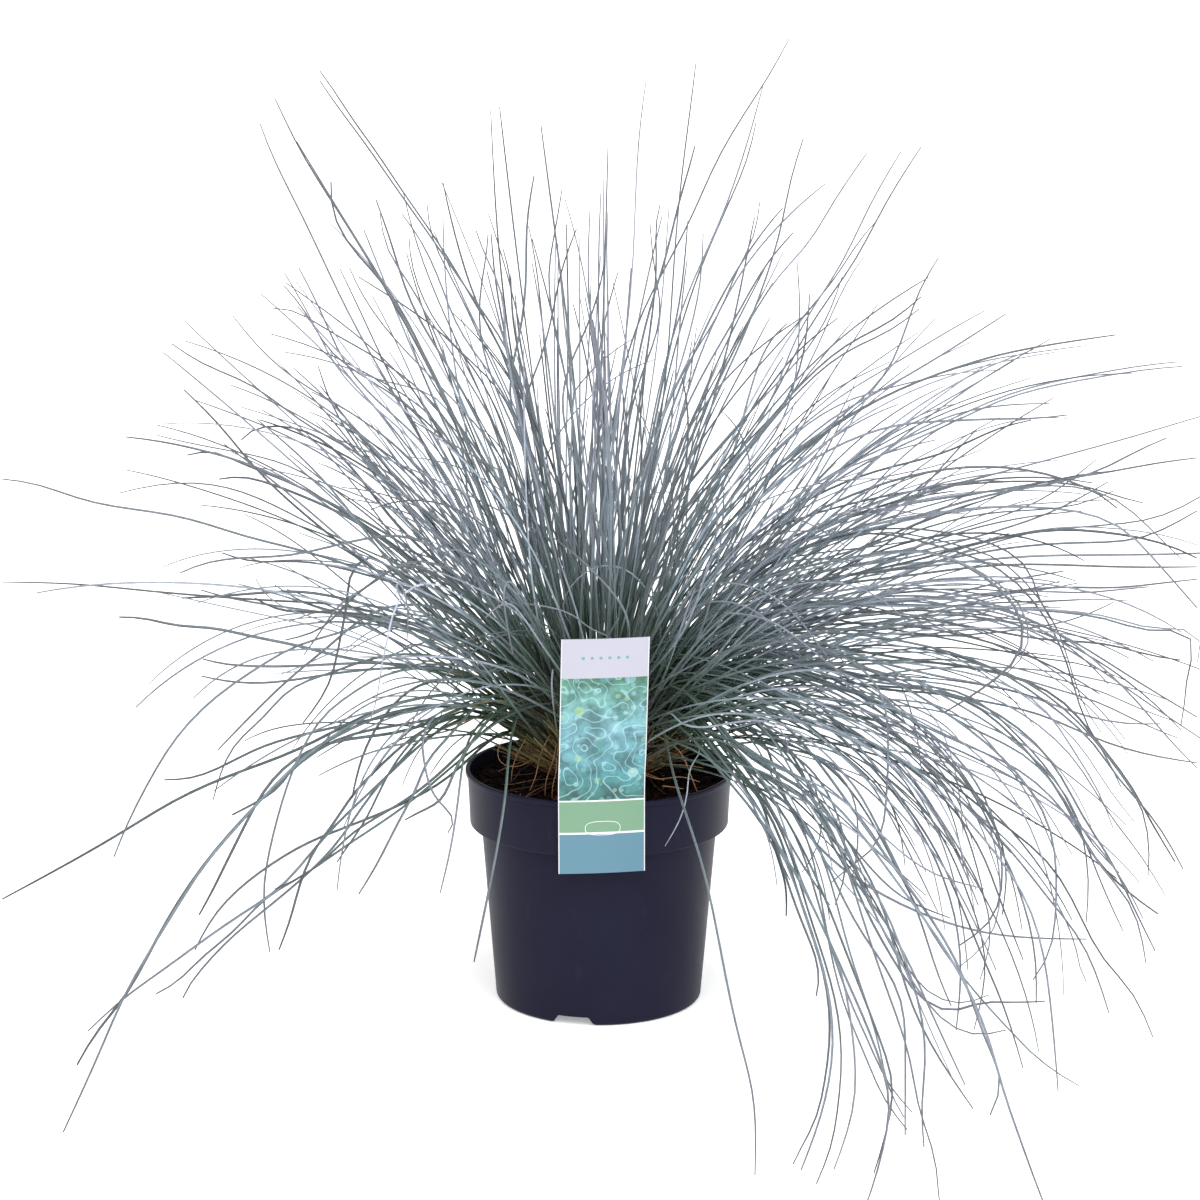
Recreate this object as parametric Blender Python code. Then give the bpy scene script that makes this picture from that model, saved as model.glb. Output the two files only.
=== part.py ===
"""Potted blue fescue: a nursery pot with its soil, the crown of the grass, the tufts of
leaves that grow out of it, and a plant label hooked over the pot's lip.

Lengths are in metres and angles in degrees. +Z is up, the origin is the middle of the
pot's foot, and the label faces -Y. An azimuth is turned from +X towards +Y. A lean is an
angle from straight up, so a leaf that leans 90 lies level and one that leans 150 hangs.
"""

import math
import random

import bmesh
import bpy
from mathutils import Matrix, Vector

# The gap left between pieces that touch
GAP = 0.0003

# The pot: a tapered tub with a wider band round its top and a rolled lip
POT_SEGMENTS = 36
POT_HEIGHT = 0.153
LIP_RADIUS = 0.0865
LIP_HEIGHT = 0.0032
BAND_RADIUS = 0.0851
BAND_FOOT_RADIUS = 0.0835
BAND_FOOT_HEIGHT = 0.1172
TUB_RADIUS = 0.0762
FOOT_RADIUS = 0.0667
FOOT_ROUND = 0.0012
FOOT_WIDTH = 0.0042
WALL = 0.0016
FLOOR_LIFT = 0.0062
FLOOR_THICKNESS = 0.0018
PAD_RADIUS = 0.014

# The openings in the foot's edge and the drain holes in the pot's floor
NOTCHES = 3
NOTCH_AZIMUTH = -104.0
NOTCH_WIDTH = 0.0285
NOTCH_TOP_WIDTH = 0.0195
NOTCH_HEIGHT = 0.0058
DRAINS = 6
DRAIN_RADIUS = 0.0045
DRAIN_CIRCLE = 0.046
DRAIN_SIDES = 8

# The soil
SOIL_TOP = 0.1425
SOIL_BUMP = 0.0012
SOIL_RINGS = 3

# The crown: the part of a ball that stands above the soil
CROWN_BALL_RADIUS = 0.0376
CROWN_BALL_DEPTH = 0.010
CROWN_SEGMENTS = 16
CROWN_RINGS = 4

# The label: it hangs straight below its hook and leans forward above it
LABEL_WIDTH = 0.0545
LABEL_THICKNESS = 0.0006
LABEL_FOOT = 0.1087
LABEL_SHIFT = -0.0088
LABEL_FACES = 7.0
LABEL_TURN = 0.4
LABEL_LEAN = 12.0
LABEL_CURVE_RADIUS = 0.25
LABEL_COLUMNS = 4
LABEL_ROWS = (0.0, 0.015, 0.030, 0.0455, 0.0467, 0.070, 0.098, 0.128, 0.1585)
HOOK_ROW = 3
HOOK_REACH = 0.0070
HOOK_THICKNESS = 0.0008
HOOK_LEG = 0.0075

# How every tuft grows. Its trunk is one bundle of leaves, which parts into prongs.
TUFT_SIDES = 5
TUFT_BASE_RADIUS = 0.0033
TUFT_FLARE = 0.085
TRUNK_LEVELS = (0.07, 0.15, 0.25)
PRONG_LEVELS = 4
PRONG_SPREAD = 0.042
NARROWEST_SPREAD = 0.75
PRONG_TIP_SCALE = 0.05
PRONG_TAPER = 0.7
SHORTEST_PRONG = 0.70
PATH_STEPS = 60
FLOOR_CLEARANCE = 0.0012

# The rings of tufts, from the middle of the crown out: the lean at the crown, how late the
# leaves bend (1 is evenly, more is nearer the tip), then a row for each tuft with its
# azimuth, how far it swings round by its tip, its lean there and its longest leaf's length
RINGS = {
    "top": (
        8,
        1.3,
        (
            (12, 4, 27, 0.510),
            (100, -8, 16, 0.390),
            (196, 6, 37, 0.460),
            (280, 8, 16, 0.370),
        ),
    ),
    "upper": (
        20,
        1.3,
        (
            (4, -6, 42, 0.430),
            (42, 8, 40, 0.400),
            (84, -6, 34, 0.380),
            (124, 6, 38, 0.390),
            (160, -6, 42, 0.420),
            (208, 8, 44, 0.420),
            (242, -6, 40, 0.360),
            (278, 4, 32, 0.330),
            (322, -8, 44, 0.390),
        ),
    ),
    "middle": (
        32,
        1.3,
        (
            (10, 6, 82, 0.450),
            (42, -6, 70, 0.420),
            (74, 6, 66, 0.400),
            (106, -8, 64, 0.400),
            (138, 6, 66, 0.400),
            (170, 8, 62, 0.400),
            (200, -6, 72, 0.390),
            (228, 6, 78, 0.370),
            (304, -8, 88, 0.380),
            (334, 6, 92, 0.420),
        ),
    ),
    "outer": (
        43,
        1.2,
        (
            (6, -6, 112, 0.410),
            (34, 8, 108, 0.420),
            (64, -8, 104, 0.410),
            (93, 6, 102, 0.400),
            (122, -6, 104, 0.400),
            (151, 6, 102, 0.410),
            (176, -4, 92, 0.430),
            (204, 8, 112, 0.410),
            (232, 8, 128, 0.390),
            (302, -10, 136, 0.420),
            (326, -6, 132, 0.440),
            (346, 4, 124, 0.420),
        ),
    ),
    "hanging": (
        53,
        0.9,
        (
            (18, 6, 158, 0.410),
            (56, -8, 148, 0.420),
            (98, 8, 142, 0.410),
            (140, -6, 148, 0.420),
            (168, 6, 156, 0.410),
            (192, 6, 160, 0.430),
            (218, 10, 166, 0.480),
            (300, -18, 172, 0.490),
            (314, -16, 168, 0.520),
            (330, -10, 164, 0.480),
            (352, 4, 162, 0.420),
        ),
    ),
}

COLOURS = {
    "pot": ((0.030, 0.031, 0.045), 0.45),
    "soil": ((0.045, 0.022, 0.014), 0.95),
    "crown": ((0.330, 0.230, 0.130), 0.80),
    "label": ((0.420, 0.620, 0.610), 0.35),
    "tuft": ((0.250, 0.320, 0.350), 0.55),
}


def clear_scene():
    for thing in list(bpy.data.objects):
        bpy.data.objects.remove(thing, do_unlink=True)


def material(name, kind):
    """A Principled material with the colour and roughness of this kind of piece."""
    colour, roughness = COLOURS[kind]
    made = bpy.data.materials.new(name)
    made.use_nodes = True
    shader = made.node_tree.nodes["Principled BSDF"]
    shader.inputs["Base Color"].default_value = (*colour, 1.0)
    shader.inputs["Roughness"].default_value = roughness
    shader.inputs["Metallic"].default_value = 0.0
    made.diffuse_color = (*colour, 1.0)
    return made


def add_object(name, bm, kind, smooth_angle=None):
    """Turns a bmesh into a named object with a material of its own."""
    bmesh.ops.recalc_face_normals(bm, faces=bm.faces[:])
    mesh = bpy.data.meshes.new(name)
    bm.to_mesh(mesh)
    bm.free()
    if smooth_angle is not None:
        mesh.shade_smooth()
        mesh.set_sharp_from_angle(angle=math.radians(smooth_angle))
    mesh.materials.append(material(name, kind))
    made = bpy.data.objects.new(name, mesh)
    bpy.context.collection.objects.link(made)
    return made


def turned(profile, segments):
    """A bmesh made by turning a profile of (radius, height) points about the Z axis."""
    bm = bmesh.new()
    points = [bm.verts.new((radius, 0.0, height)) for radius, height in profile]
    edges = [bm.edges.new(pair) for pair in zip(points, points[1:])]
    bmesh.ops.spin(
        bm,
        geom=points + edges,
        cent=(0.0, 0.0, 0.0),
        axis=(0.0, 0.0, 1.0),
        angle=math.tau,
        steps=segments,
        use_merge=True,
    )
    bmesh.ops.remove_doubles(bm, verts=bm.verts[:], dist=1e-6)
    return bm


def cut(target, cutter):
    """Subtracts a cutter from the target and keeps the cutter out of the model."""
    cutter.hide_render = True
    cutter.display_type = "WIRE"
    modifier = target.modifiers.new(cutter.name, "BOOLEAN")
    modifier.operation = "DIFFERENCE"
    modifier.solver = "EXACT"
    modifier.object = cutter


# Pot


def tub_radius(height):
    """The outer radius of the tub at a height, without the rounding of its foot."""
    share = height / BAND_FOOT_HEIGHT
    return FOOT_RADIUS + (TUB_RADIUS - FOOT_RADIUS) * share


def band_radius(height):
    """The outer radius of the band at a height."""
    top = POT_HEIGHT - LIP_HEIGHT
    share = (height - BAND_FOOT_HEIGHT) / (top - BAND_FOOT_HEIGHT)
    return BAND_FOOT_RADIUS + (BAND_RADIUS - BAND_FOOT_RADIUS) * share


def band_profile():
    """The section of the pot's top: a shelf, the band that stands on it and the lip."""
    lip_foot = POT_HEIGHT - LIP_HEIGHT
    step = BAND_FOOT_HEIGHT
    shelf = step + WALL
    section = [
        (TUB_RADIUS - WALL, step),
        (TUB_RADIUS - WALL, shelf),
        (band_radius(shelf) - WALL, shelf),
        (band_radius(POT_HEIGHT) - WALL, POT_HEIGHT),
        (LIP_RADIUS, POT_HEIGHT),
        (LIP_RADIUS, lip_foot),
        (BAND_RADIUS, lip_foot),
        (BAND_FOOT_RADIUS, step),
    ]
    return section + section[:1]


def tub_profile():
    """The section of the pot's tub: up its inside, down its outside and in under its floor."""
    floor_top = FLOOR_LIFT + FLOOR_THICKNESS
    top = BAND_FOOT_HEIGHT - GAP
    return [
        (0.0, floor_top),
        (tub_radius(floor_top) - WALL, floor_top),
        (tub_radius(top) - WALL, top),
        (tub_radius(top), top),
        (tub_radius(FOOT_ROUND), FOOT_ROUND),
        (FOOT_RADIUS - FOOT_ROUND, 0.0),
        (FOOT_RADIUS - FOOT_WIDTH, 0.0),
        (FOOT_RADIUS - FOOT_WIDTH, FLOOR_LIFT),
        (PAD_RADIUS, FLOOR_LIFT),
        (PAD_RADIUS, 0.0),
        (0.0, 0.0),
    ]


def notch_cutter():
    """The openings in the foot's edge, as trapezoid bars that run out through it."""
    bm = bmesh.new()
    inner = FOOT_RADIUS - 2.0 * FOOT_WIDTH
    outer = FOOT_RADIUS + FOOT_WIDTH
    below = -NOTCH_HEIGHT
    for notch in range(NOTCHES):
        turn = Matrix.Rotation(math.radians(NOTCH_AZIMUTH + 360.0 / NOTCHES * notch), 4, "Z")
        outline = (
            (-NOTCH_WIDTH, below),
            (NOTCH_WIDTH, below),
            (NOTCH_TOP_WIDTH, NOTCH_HEIGHT),
            (-NOTCH_TOP_WIDTH, NOTCH_HEIGHT),
        )
        corners = [turn @ Vector((inner, across / 2.0, up)) for across, up in outline]
        face = bm.faces.new([bm.verts.new(corner) for corner in corners])
        pushed = bmesh.ops.extrude_face_region(bm, geom=[face])["geom"]
        moved = [part for part in pushed if isinstance(part, bmesh.types.BMVert)]
        out = turn @ Vector((outer - inner, 0.0, 0.0))
        bmesh.ops.translate(bm, vec=out, verts=moved)
    return add_object("notch_cutter", bm, "pot")


def drain_cutter():
    """The drain holes in the pot's floor."""
    bm = bmesh.new()
    for drain in range(DRAINS):
        azimuth = math.radians(NOTCH_AZIMUTH + 360.0 / DRAINS * (drain + 0.5))
        place = Vector((math.cos(azimuth), math.sin(azimuth), 0.0)) * DRAIN_CIRCLE
        place.z = FLOOR_LIFT + FLOOR_THICKNESS / 2.0
        bmesh.ops.create_cone(
            bm,
            cap_ends=True,
            segments=DRAIN_SIDES,
            radius1=DRAIN_RADIUS,
            radius2=DRAIN_RADIUS,
            depth=3.0 * FLOOR_THICKNESS,
            matrix=Matrix.Translation(place),
        )
    return add_object("drain_cutter", bm, "pot")


def add_pot():
    """The pot, in two solids that meet at the step under its band."""
    add_object("pot_band", turned(band_profile(), POT_SEGMENTS), "pot", 30)
    tub = add_object("pot_tub", turned(tub_profile(), POT_SEGMENTS), "pot", 30)
    cut(tub, notch_cutter())
    cut(tub, drain_cutter())


# Soil and crown


def add_soil():
    """Peat that fills the pot, with a flat seat for the crown and small bumps round it."""
    gap = 1.5 * GAP
    shelf = BAND_FOOT_HEIGHT + WALL
    floor_top = FLOOR_LIFT + FLOOR_THICKNESS
    seat = CROWN_BALL_RADIUS
    rim = band_radius(SOIL_TOP) - WALL - gap
    sides = [
        (0.0, floor_top + gap),
        (tub_radius(floor_top) - WALL - gap, floor_top + gap),
        (TUB_RADIUS - WALL - gap, shelf + gap),
        (band_radius(shelf) - WALL - gap, shelf + gap),
        (rim, SOIL_TOP),
    ]
    shares = [ring / SOIL_RINGS for ring in range(SOIL_RINGS - 1, -1, -1)]
    rings = [(seat + (rim - seat) * share, SOIL_TOP) for share in shares]
    bm = turned(sides + rings + [(0.0, SOIL_TOP)], POT_SEGMENTS)
    chance = random.Random(5)
    for vertex in bm.verts:
        reach = math.hypot(vertex.co.x, vertex.co.y)
        if vertex.co.z > SOIL_TOP - GAP and seat + GAP < reach < rim - GAP:
            vertex.co.z += chance.uniform(-SOIL_BUMP, SOIL_BUMP)
    add_object("soil", bm, "soil", 60)


def crown_centre():
    return Vector((0.0, 0.0, SOIL_TOP - CROWN_BALL_DEPTH))


def add_crown():
    """The part of a ball above the soil, out of which every tuft grows."""
    foot = SOIL_TOP + GAP
    centre = crown_centre().z
    low = math.acos((foot - centre) / CROWN_BALL_RADIUS)
    profile = [(0.0, foot)]
    for ring in range(CROWN_RINGS + 1):
        lean = low * (1.0 - ring / CROWN_RINGS)
        profile.append(
            (
                CROWN_BALL_RADIUS * math.sin(lean),
                centre + CROWN_BALL_RADIUS * math.cos(lean),
            )
        )
    add_object("crown", turned(profile, CROWN_SEGMENTS), "crown", 60)


# Label


def label_point(across, along, back):
    """A point of the label: across from its middle line, along from its foot, back from
    its printed face."""
    turn = across / LABEL_CURVE_RADIUS
    side = (LABEL_CURVE_RADIUS - back) * math.sin(turn)
    sink = LABEL_CURVE_RADIUS - (LABEL_CURVE_RADIUS - back) * math.cos(turn)
    front = -LIP_RADIUS - LABEL_THICKNESS - 2.0 * GAP
    above = max(along - LABEL_ROWS[HOOK_ROW + 1], 0.0)
    lean = math.radians(LABEL_LEAN)
    forward = above * math.sin(lean)
    height = along - above * (1.0 - math.cos(lean))
    return Vector((side, front + sink - forward, height))


def label_place():
    """Where the label hangs: it faces a little to the right of straight ahead."""
    facing = Matrix.Rotation(math.radians(LABEL_FACES), 4, "Z")
    turn = Matrix.Rotation(math.radians(-LABEL_TURN), 4, "Y")
    return facing @ Matrix.Translation((LABEL_SHIFT, 0.0, LABEL_FOOT)) @ turn


def add_label():
    """A curved card with a narrow hook at its back that goes over the pot's lip."""
    bm = bmesh.new()
    half = LABEL_WIDTH / 2.0
    lines = [half * (2.0 * c / LABEL_COLUMNS - 1.0) for c in range(LABEL_COLUMNS + 1)]
    sheets = [
        [[bm.verts.new(label_point(x, z, back)) for x in lines] for z in LABEL_ROWS]
        for back in (0.0, LABEL_THICKNESS)
    ]
    cells = {}
    for row in range(len(LABEL_ROWS) - 1):
        for column in range(LABEL_COLUMNS):
            for sheet, verts in enumerate(sheets):
                low, high = verts[row], verts[row + 1]
                corners = (low[column], low[column + 1], high[column + 1], high[column])
                cells[sheet, row, column] = bm.faces.new(corners)
    rim = [edge for edge in bm.edges if edge.is_boundary]
    bmesh.ops.bridge_loops(bm, edges=rim)
    middle = LABEL_COLUMNS // 2
    root = [cells[1, HOOK_ROW, middle - 1], cells[1, HOOK_ROW, middle]]
    shelf = push(bm, root, Vector((0.0, HOOK_REACH, 0.0)))
    end = push(bm, shelf, Vector((0.0, HOOK_THICKNESS, 0.0)))
    push(bm, faces_under(bm, end), Vector((0.0, 0.0, -HOOK_LEG)))
    bmesh.ops.transform(bm, matrix=label_place(), verts=bm.verts[:])
    add_object("label", bm, "label", 40)


def push(bm, faces, way):
    """Extrudes faces together along a vector and returns the moved faces."""
    made = bmesh.ops.extrude_face_region(bm, geom=faces)["geom"]
    bmesh.ops.delete(bm, geom=faces, context="FACES_ONLY")
    verts = [part for part in made if isinstance(part, bmesh.types.BMVert)]
    bmesh.ops.translate(bm, vec=way, verts=verts)
    return [part for part in made if isinstance(part, bmesh.types.BMFace)]


def faces_under(bm, faces):
    """The level faces that meet the lower edges of the faces given."""
    bmesh.ops.recalc_face_normals(bm, faces=bm.faces[:])
    beside = {near for face in faces for edge in face.edges for near in edge.link_faces}
    return [face for face in beside if face not in faces and face.normal.z < -0.9]


# Tufts


def outward(azimuth):
    return Vector((math.cos(azimuth), math.sin(azimuth), 0.0))


def leaf_path(azimuths, leans, length, lateness):
    """Points along a leaf, each with its azimuth and lean. The leaf bends over as it goes,
    until it lies on the floor."""
    up = Vector((0.0, 0.0, 1.0))
    start = CROWN_BALL_RADIUS + 2.0 * GAP
    way = math.sin(leans[0]) * outward(azimuths[0]) + math.cos(leans[0]) * up
    place = crown_centre() + start * way
    path = []
    for step in range(PATH_STEPS + 1):
        share = step / PATH_STEPS
        azimuth = azimuths[0] + (azimuths[1] - azimuths[0]) * share
        lean = leans[0] + (leans[1] - leans[0]) * share**lateness
        if place.z < FLOOR_CLEARANCE:
            lean = min(lean, math.pi / 2.0)
        path.append((place.copy(), azimuth, lean))
        way = math.sin(lean) * outward(azimuth) + math.cos(lean) * up
        place += length / PATH_STEPS * way
    return path


def frame_at(path, share):
    """(place, sideways, outwards) at a share of the path's length."""
    where = min(share, 1.0) * PATH_STEPS
    step = min(int(where), PATH_STEPS - 1)
    place = path[step][0].lerp(path[step + 1][0], where - step)
    azimuth, lean = path[step][1:]
    side = outward(azimuth + math.pi / 2.0)
    out = math.cos(lean) * outward(azimuth) - math.sin(lean) * Vector((0.0, 0.0, 1.0))
    return place, side, out


def extrude_to(bm, face, points):
    """Extrudes a face and moves its corners to the points given."""
    moved = bmesh.ops.extrude_discrete_faces(bm, faces=[face])["faces"][0]
    for vertex, point in zip(moved.verts, points):
        vertex.co = point
    return moved


def trunk_radius(distance):
    """A trunk widens evenly with the distance from the crown."""
    return TUFT_BASE_RADIUS + TUFT_FLARE * distance


def add_prong(bm, face, path, chance):
    """Draws one side of the parted trunk out into a pointed prong of leaves."""
    split = TRUNK_LEVELS[-1]
    place, side, out = frame_at(path, split)
    corners = [complex((v.co - place).dot(out), (v.co - place).dot(side)) for v in face.verts]
    middle = sum(corners) / len(corners)
    end = split + (1.0 - split) * chance.uniform(SHORTEST_PRONG, 1.0)
    spread = middle / abs(middle) * PRONG_SPREAD * chance.uniform(NARROWEST_SPREAD, 1.0)
    for level in range(1, PRONG_LEVELS + 1):
        share = level / PRONG_LEVELS
        scale = 1.0 + (PRONG_TIP_SCALE - 1.0) * share**PRONG_TAPER
        place, side, out = frame_at(path, split + (end - split) * share)
        heart = middle + spread * share
        shifted = [heart + (corner - middle) * scale for corner in corners]
        points = [place + out * at.real + side * at.imag for at in shifted]
        lift = max(FLOOR_CLEARANCE - min(point.z for point in points), 0.0)
        face = extrude_to(bm, face, [point + Vector((0.0, 0.0, lift)) for point in points])


def add_tuft(name, path, length):
    """One bundle of leaves: a five-sided trunk that parts into five prongs."""
    chance = random.Random(name)
    turns = [math.tau * corner / TUFT_SIDES for corner in range(TUFT_SIDES)]
    bm = bmesh.new()

    def section(share):
        place, side, out = frame_at(path, share)
        radius = trunk_radius(share * length)
        return [place + radius * (math.sin(t) * side + math.cos(t) * out) for t in turns]

    foot = [bm.verts.new(point) for point in section(0.0)]
    face = bm.faces.new(foot)
    for share in TRUNK_LEVELS:
        face = extrude_to(bm, face, section(share))
    bm.faces.new(foot)
    for side_face in bmesh.ops.poke(bm, faces=[face])["faces"]:
        add_prong(bm, side_face, path, chance)
    add_object(name, bm, "tuft", 50)


def add_tufts():
    for ring, (base_lean, lateness, rows) in RINGS.items():
        for number, (azimuth, swing, tip_lean, length) in enumerate(rows, start=1):
            azimuths = math.radians(azimuth), math.radians(azimuth + swing)
            leans = math.radians(base_lean), math.radians(tip_lean)
            path = leaf_path(azimuths, leans, length, lateness)
            add_tuft(f"tuft_{ring}_{number:02d}", path, length)


def main():
    clear_scene()
    add_pot()
    add_soil()
    add_crown()
    add_label()
    add_tufts()


main()
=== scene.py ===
"""The looks of the potted blue fescue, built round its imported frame.

Lengths are in metres and angles in degrees unless a name says otherwise. An azimuth turns
from +X towards +Y, and a lean is an angle from straight up. The label faces -Y, and so does
the photograph's camera. Pixels are the photograph's, 1200 x 1200, counted from its top left.
"""

import math
import zlib

import bmesh
import bpy
import numpy as np
from mathutils import Matrix, Vector, noise


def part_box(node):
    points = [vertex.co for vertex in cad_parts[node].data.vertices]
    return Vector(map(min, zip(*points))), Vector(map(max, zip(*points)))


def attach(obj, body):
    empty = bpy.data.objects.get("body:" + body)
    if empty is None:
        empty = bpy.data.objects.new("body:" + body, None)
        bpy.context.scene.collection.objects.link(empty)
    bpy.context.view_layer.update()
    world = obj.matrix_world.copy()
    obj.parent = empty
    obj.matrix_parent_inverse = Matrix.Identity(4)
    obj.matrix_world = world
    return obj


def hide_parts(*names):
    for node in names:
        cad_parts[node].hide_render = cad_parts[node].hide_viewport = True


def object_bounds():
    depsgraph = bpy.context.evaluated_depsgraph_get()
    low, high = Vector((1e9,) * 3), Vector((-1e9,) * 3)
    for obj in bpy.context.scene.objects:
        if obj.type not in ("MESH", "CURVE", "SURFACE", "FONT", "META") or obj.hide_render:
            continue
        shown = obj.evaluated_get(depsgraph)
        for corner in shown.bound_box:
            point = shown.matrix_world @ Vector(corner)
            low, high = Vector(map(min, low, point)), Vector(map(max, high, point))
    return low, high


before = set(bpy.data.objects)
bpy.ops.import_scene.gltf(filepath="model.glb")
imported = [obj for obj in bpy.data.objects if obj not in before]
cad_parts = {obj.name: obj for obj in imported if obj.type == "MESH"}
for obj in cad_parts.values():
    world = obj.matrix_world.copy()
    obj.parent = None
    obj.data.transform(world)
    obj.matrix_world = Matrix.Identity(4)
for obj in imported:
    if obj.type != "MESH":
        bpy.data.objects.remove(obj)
CAD_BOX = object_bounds()

# The photograph's camera
PHOTO_SIDE = 1200
CAMERA_PLACE = Vector((0.0, -2.243, 0.776))
CAMERA_PITCH = 12.87
CAMERA_ROLL = 0.22
CAMERA_LENS = 108.0
CAMERA_SENSOR = 36.0

# Sizes shared with the frame
GAP = 0.0003
POT_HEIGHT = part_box("pot_band")[1].z
LIP_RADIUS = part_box("pot_band")[1].x
BAND_RADIUS = 0.0851
BAND_FOOT_RADIUS = 0.0835
BAND_FOOT_HEIGHT = 0.1172
TUB_RADIUS = 0.0762
FOOT_RADIUS = 0.0667
WALL = 0.0016
LIP_HEIGHT = 0.0032
SOIL_TOP = 0.1425
CROWN_BALL_RADIUS = 0.0376
CROWN_CENTRE = Vector((0.0, 0.0, SOIL_TOP - 0.010))

# The rings of tufts: the lean at the crown, how late the leaves bend, then for each tuft its
# azimuth, its swing round by the tip, its lean there, its longest leaf and its leaves' number
RINGS = {
    "top": (8, 1.3, (
        (12, 4, 27, 0.510, 7), (100, -8, 16, 0.390, 14), (196, 6, 37, 0.460, 15),
        (280, 8, 16, 0.370, 12),
    )),
    "upper": (20, 1.3, (
        (4, -6, 42, 0.430, 15), (42, 8, 40, 0.400, 9), (84, -6, 34, 0.380, 14),
        (124, 6, 38, 0.390, 13), (160, -6, 42, 0.420, 31), (208, 8, 44, 0.420, 16),
        (242, -6, 40, 0.360, 11), (278, 4, 32, 0.330, 11), (322, -8, 44, 0.390, 9),
    )),
    "middle": (32, 1.3, (
        (10, 6, 82, 0.450, 23), (42, -6, 70, 0.420, 13), (74, 6, 66, 0.400, 14),
        (106, -8, 64, 0.400, 14), (138, 6, 66, 0.400, 18), (170, 8, 62, 0.400, 13),
        (200, -6, 72, 0.390, 7), (228, 6, 78, 0.370, 16), (304, -8, 88, 0.380, 11),
        (334, 6, 92, 0.420, 29),
    )),
    "outer": (43, 1.2, (
        (6, -6, 112, 0.410, 20), (34, 8, 108, 0.420, 13), (64, -8, 104, 0.410, 14),
        (93, 6, 102, 0.400, 14), (122, -6, 104, 0.400, 14), (151, 6, 102, 0.410, 7),
        (176, -4, 92, 0.430, 3), (204, 8, 112, 0.410, 9), (232, 8, 128, 0.390, 13),
        (302, -10, 136, 0.420, 7), (326, -6, 132, 0.440, 14), (346, 4, 124, 0.420, 22),
    )),
    "hanging": (53, 0.9, (
        (18, 6, 158, 0.410, 16), (56, -8, 148, 0.420, 14), (98, 8, 142, 0.410, 14),
        (140, -6, 148, 0.420, 9), (168, 6, 156, 0.410, 3), (192, 6, 160, 0.430, 1),
        (218, 10, 166, 0.480, 2), (300, -18, 172, 0.490, 1), (314, -16, 168, 0.520, 4),
        (330, -10, 164, 0.480, 8), (352, 4, 162, 0.420, 18),
    )),
}

# Leaves drawn after the photograph: how near the camera each one ends, as Y, then x
# and y of the pixels that it runs through, outwards from the crown. Rows of UPPER_LEFT and
# RIGHT_BUNDLE follow how a bundle runs, not single leaves. Near the crown, where leaves hide
# each other, rows often start alike, and 29 of LOWER_RIGHT start with one of nine pairs of
# points. Tips below the pot lie on the floor.
LEFT = (
    (0.06, 500, 650, 400, 590, 300, 553, 250, 539, 180, 517, 85, 500, 30, 483, 2, 479),
    (-0.04, 480, 650, 400, 620, 350, 607, 280, 601, 220, 597, 150, 591, 75, 584, 2, 582),
    (0.02, 470, 600, 400, 545, 350, 515, 300, 488, 250, 465, 200, 450, 150, 440, 126, 437),
    (0.05, 480, 615, 400, 548, 345, 512, 300, 487, 235, 460, 212, 452, 187, 455),
    (-0.03, 460, 590, 400, 545, 350, 518, 300, 495, 265, 482, 240, 477, 219, 479),
    (0.08, 470, 630, 400, 580, 345, 543, 300, 510, 255, 468, 215, 421, 184, 390),
    (-0.06, 510, 620, 450, 560, 400, 539, 370, 540, 340, 545, 290, 555, 230, 559, 200, 565, 180,
     573),
    (0.04, 500, 650, 420, 595, 370, 577, 330, 566, 300, 562, 245, 560, 222, 553),
    (-0.02, 480, 650, 400, 613, 350, 600, 300, 592, 260, 593, 220, 596, 182, 598),
    (0.03, 470, 650, 400, 622, 320, 612, 270, 605, 222, 596, 201, 590),
    (-0.07, 470, 685, 400, 668, 350, 660, 300, 647, 250, 636, 210, 628, 175, 625, 140, 618, 119,
     617),
    (-0.03, 480, 685, 420, 668, 360, 664, 300, 666, 250, 666, 220, 663, 203, 659),
    (0.02, 470, 672, 400, 668, 340, 673, 300, 679, 260, 683, 220, 680, 201, 676),
    (-0.05, 490, 645, 430, 625, 370, 615, 310, 612, 275, 608, 255, 598),
    (0.00, 480, 640, 380, 622, 330, 610, 300, 600, 275, 585),
    (-0.10, 480, 640, 420, 595, 390, 570, 365, 560, 354, 570, 347, 600, 340, 640, 328, 685, 303,
     723),
    (-0.08, 480, 620, 430, 575, 400, 568, 375, 580, 345, 605, 325, 625, 285, 640),
    (-0.09, 490, 610, 440, 565, 410, 562, 370, 585, 340, 605, 325, 625, 304, 655),
    (0.05, 470, 600, 400, 530, 340, 455, 310, 433, 280, 426, 250, 432, 241, 440),
)
FRONT = (
    (-0.12, 500, 712, 478, 735, 467, 765, 459, 800, 450, 850, 440, 893),
    (-0.13, 480, 705, 440, 715, 425, 738, 425, 765, 438, 800, 453, 823, 448, 833),
    (-0.14, 520, 712, 511, 735, 506, 780, 500, 830, 488, 895, 474, 962),
    (-0.20, 655, 712, 668, 757, 682, 805, 700, 860, 717, 933, 740, 1040, 752, 1090, 755, 1175),
)
CURLS = (
    (-0.07, 655, 640, 643, 592, 615, 567, 590, 570, 570, 588, 563, 606, 570, 624),
    (-0.12, 612, 636, 592, 628, 575, 617, 548, 607, 521, 603),
    (-0.10, 545, 690, 520, 672, 500, 667, 488, 672, 478, 668, 470, 655, 466, 643),
    (-0.11, 690, 600, 720, 585, 760, 590, 790, 610, 815, 640, 835, 668, 850, 690),
    (-0.12, 668, 648, 690, 615, 730, 603, 770, 622, 800, 655),
)
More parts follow.
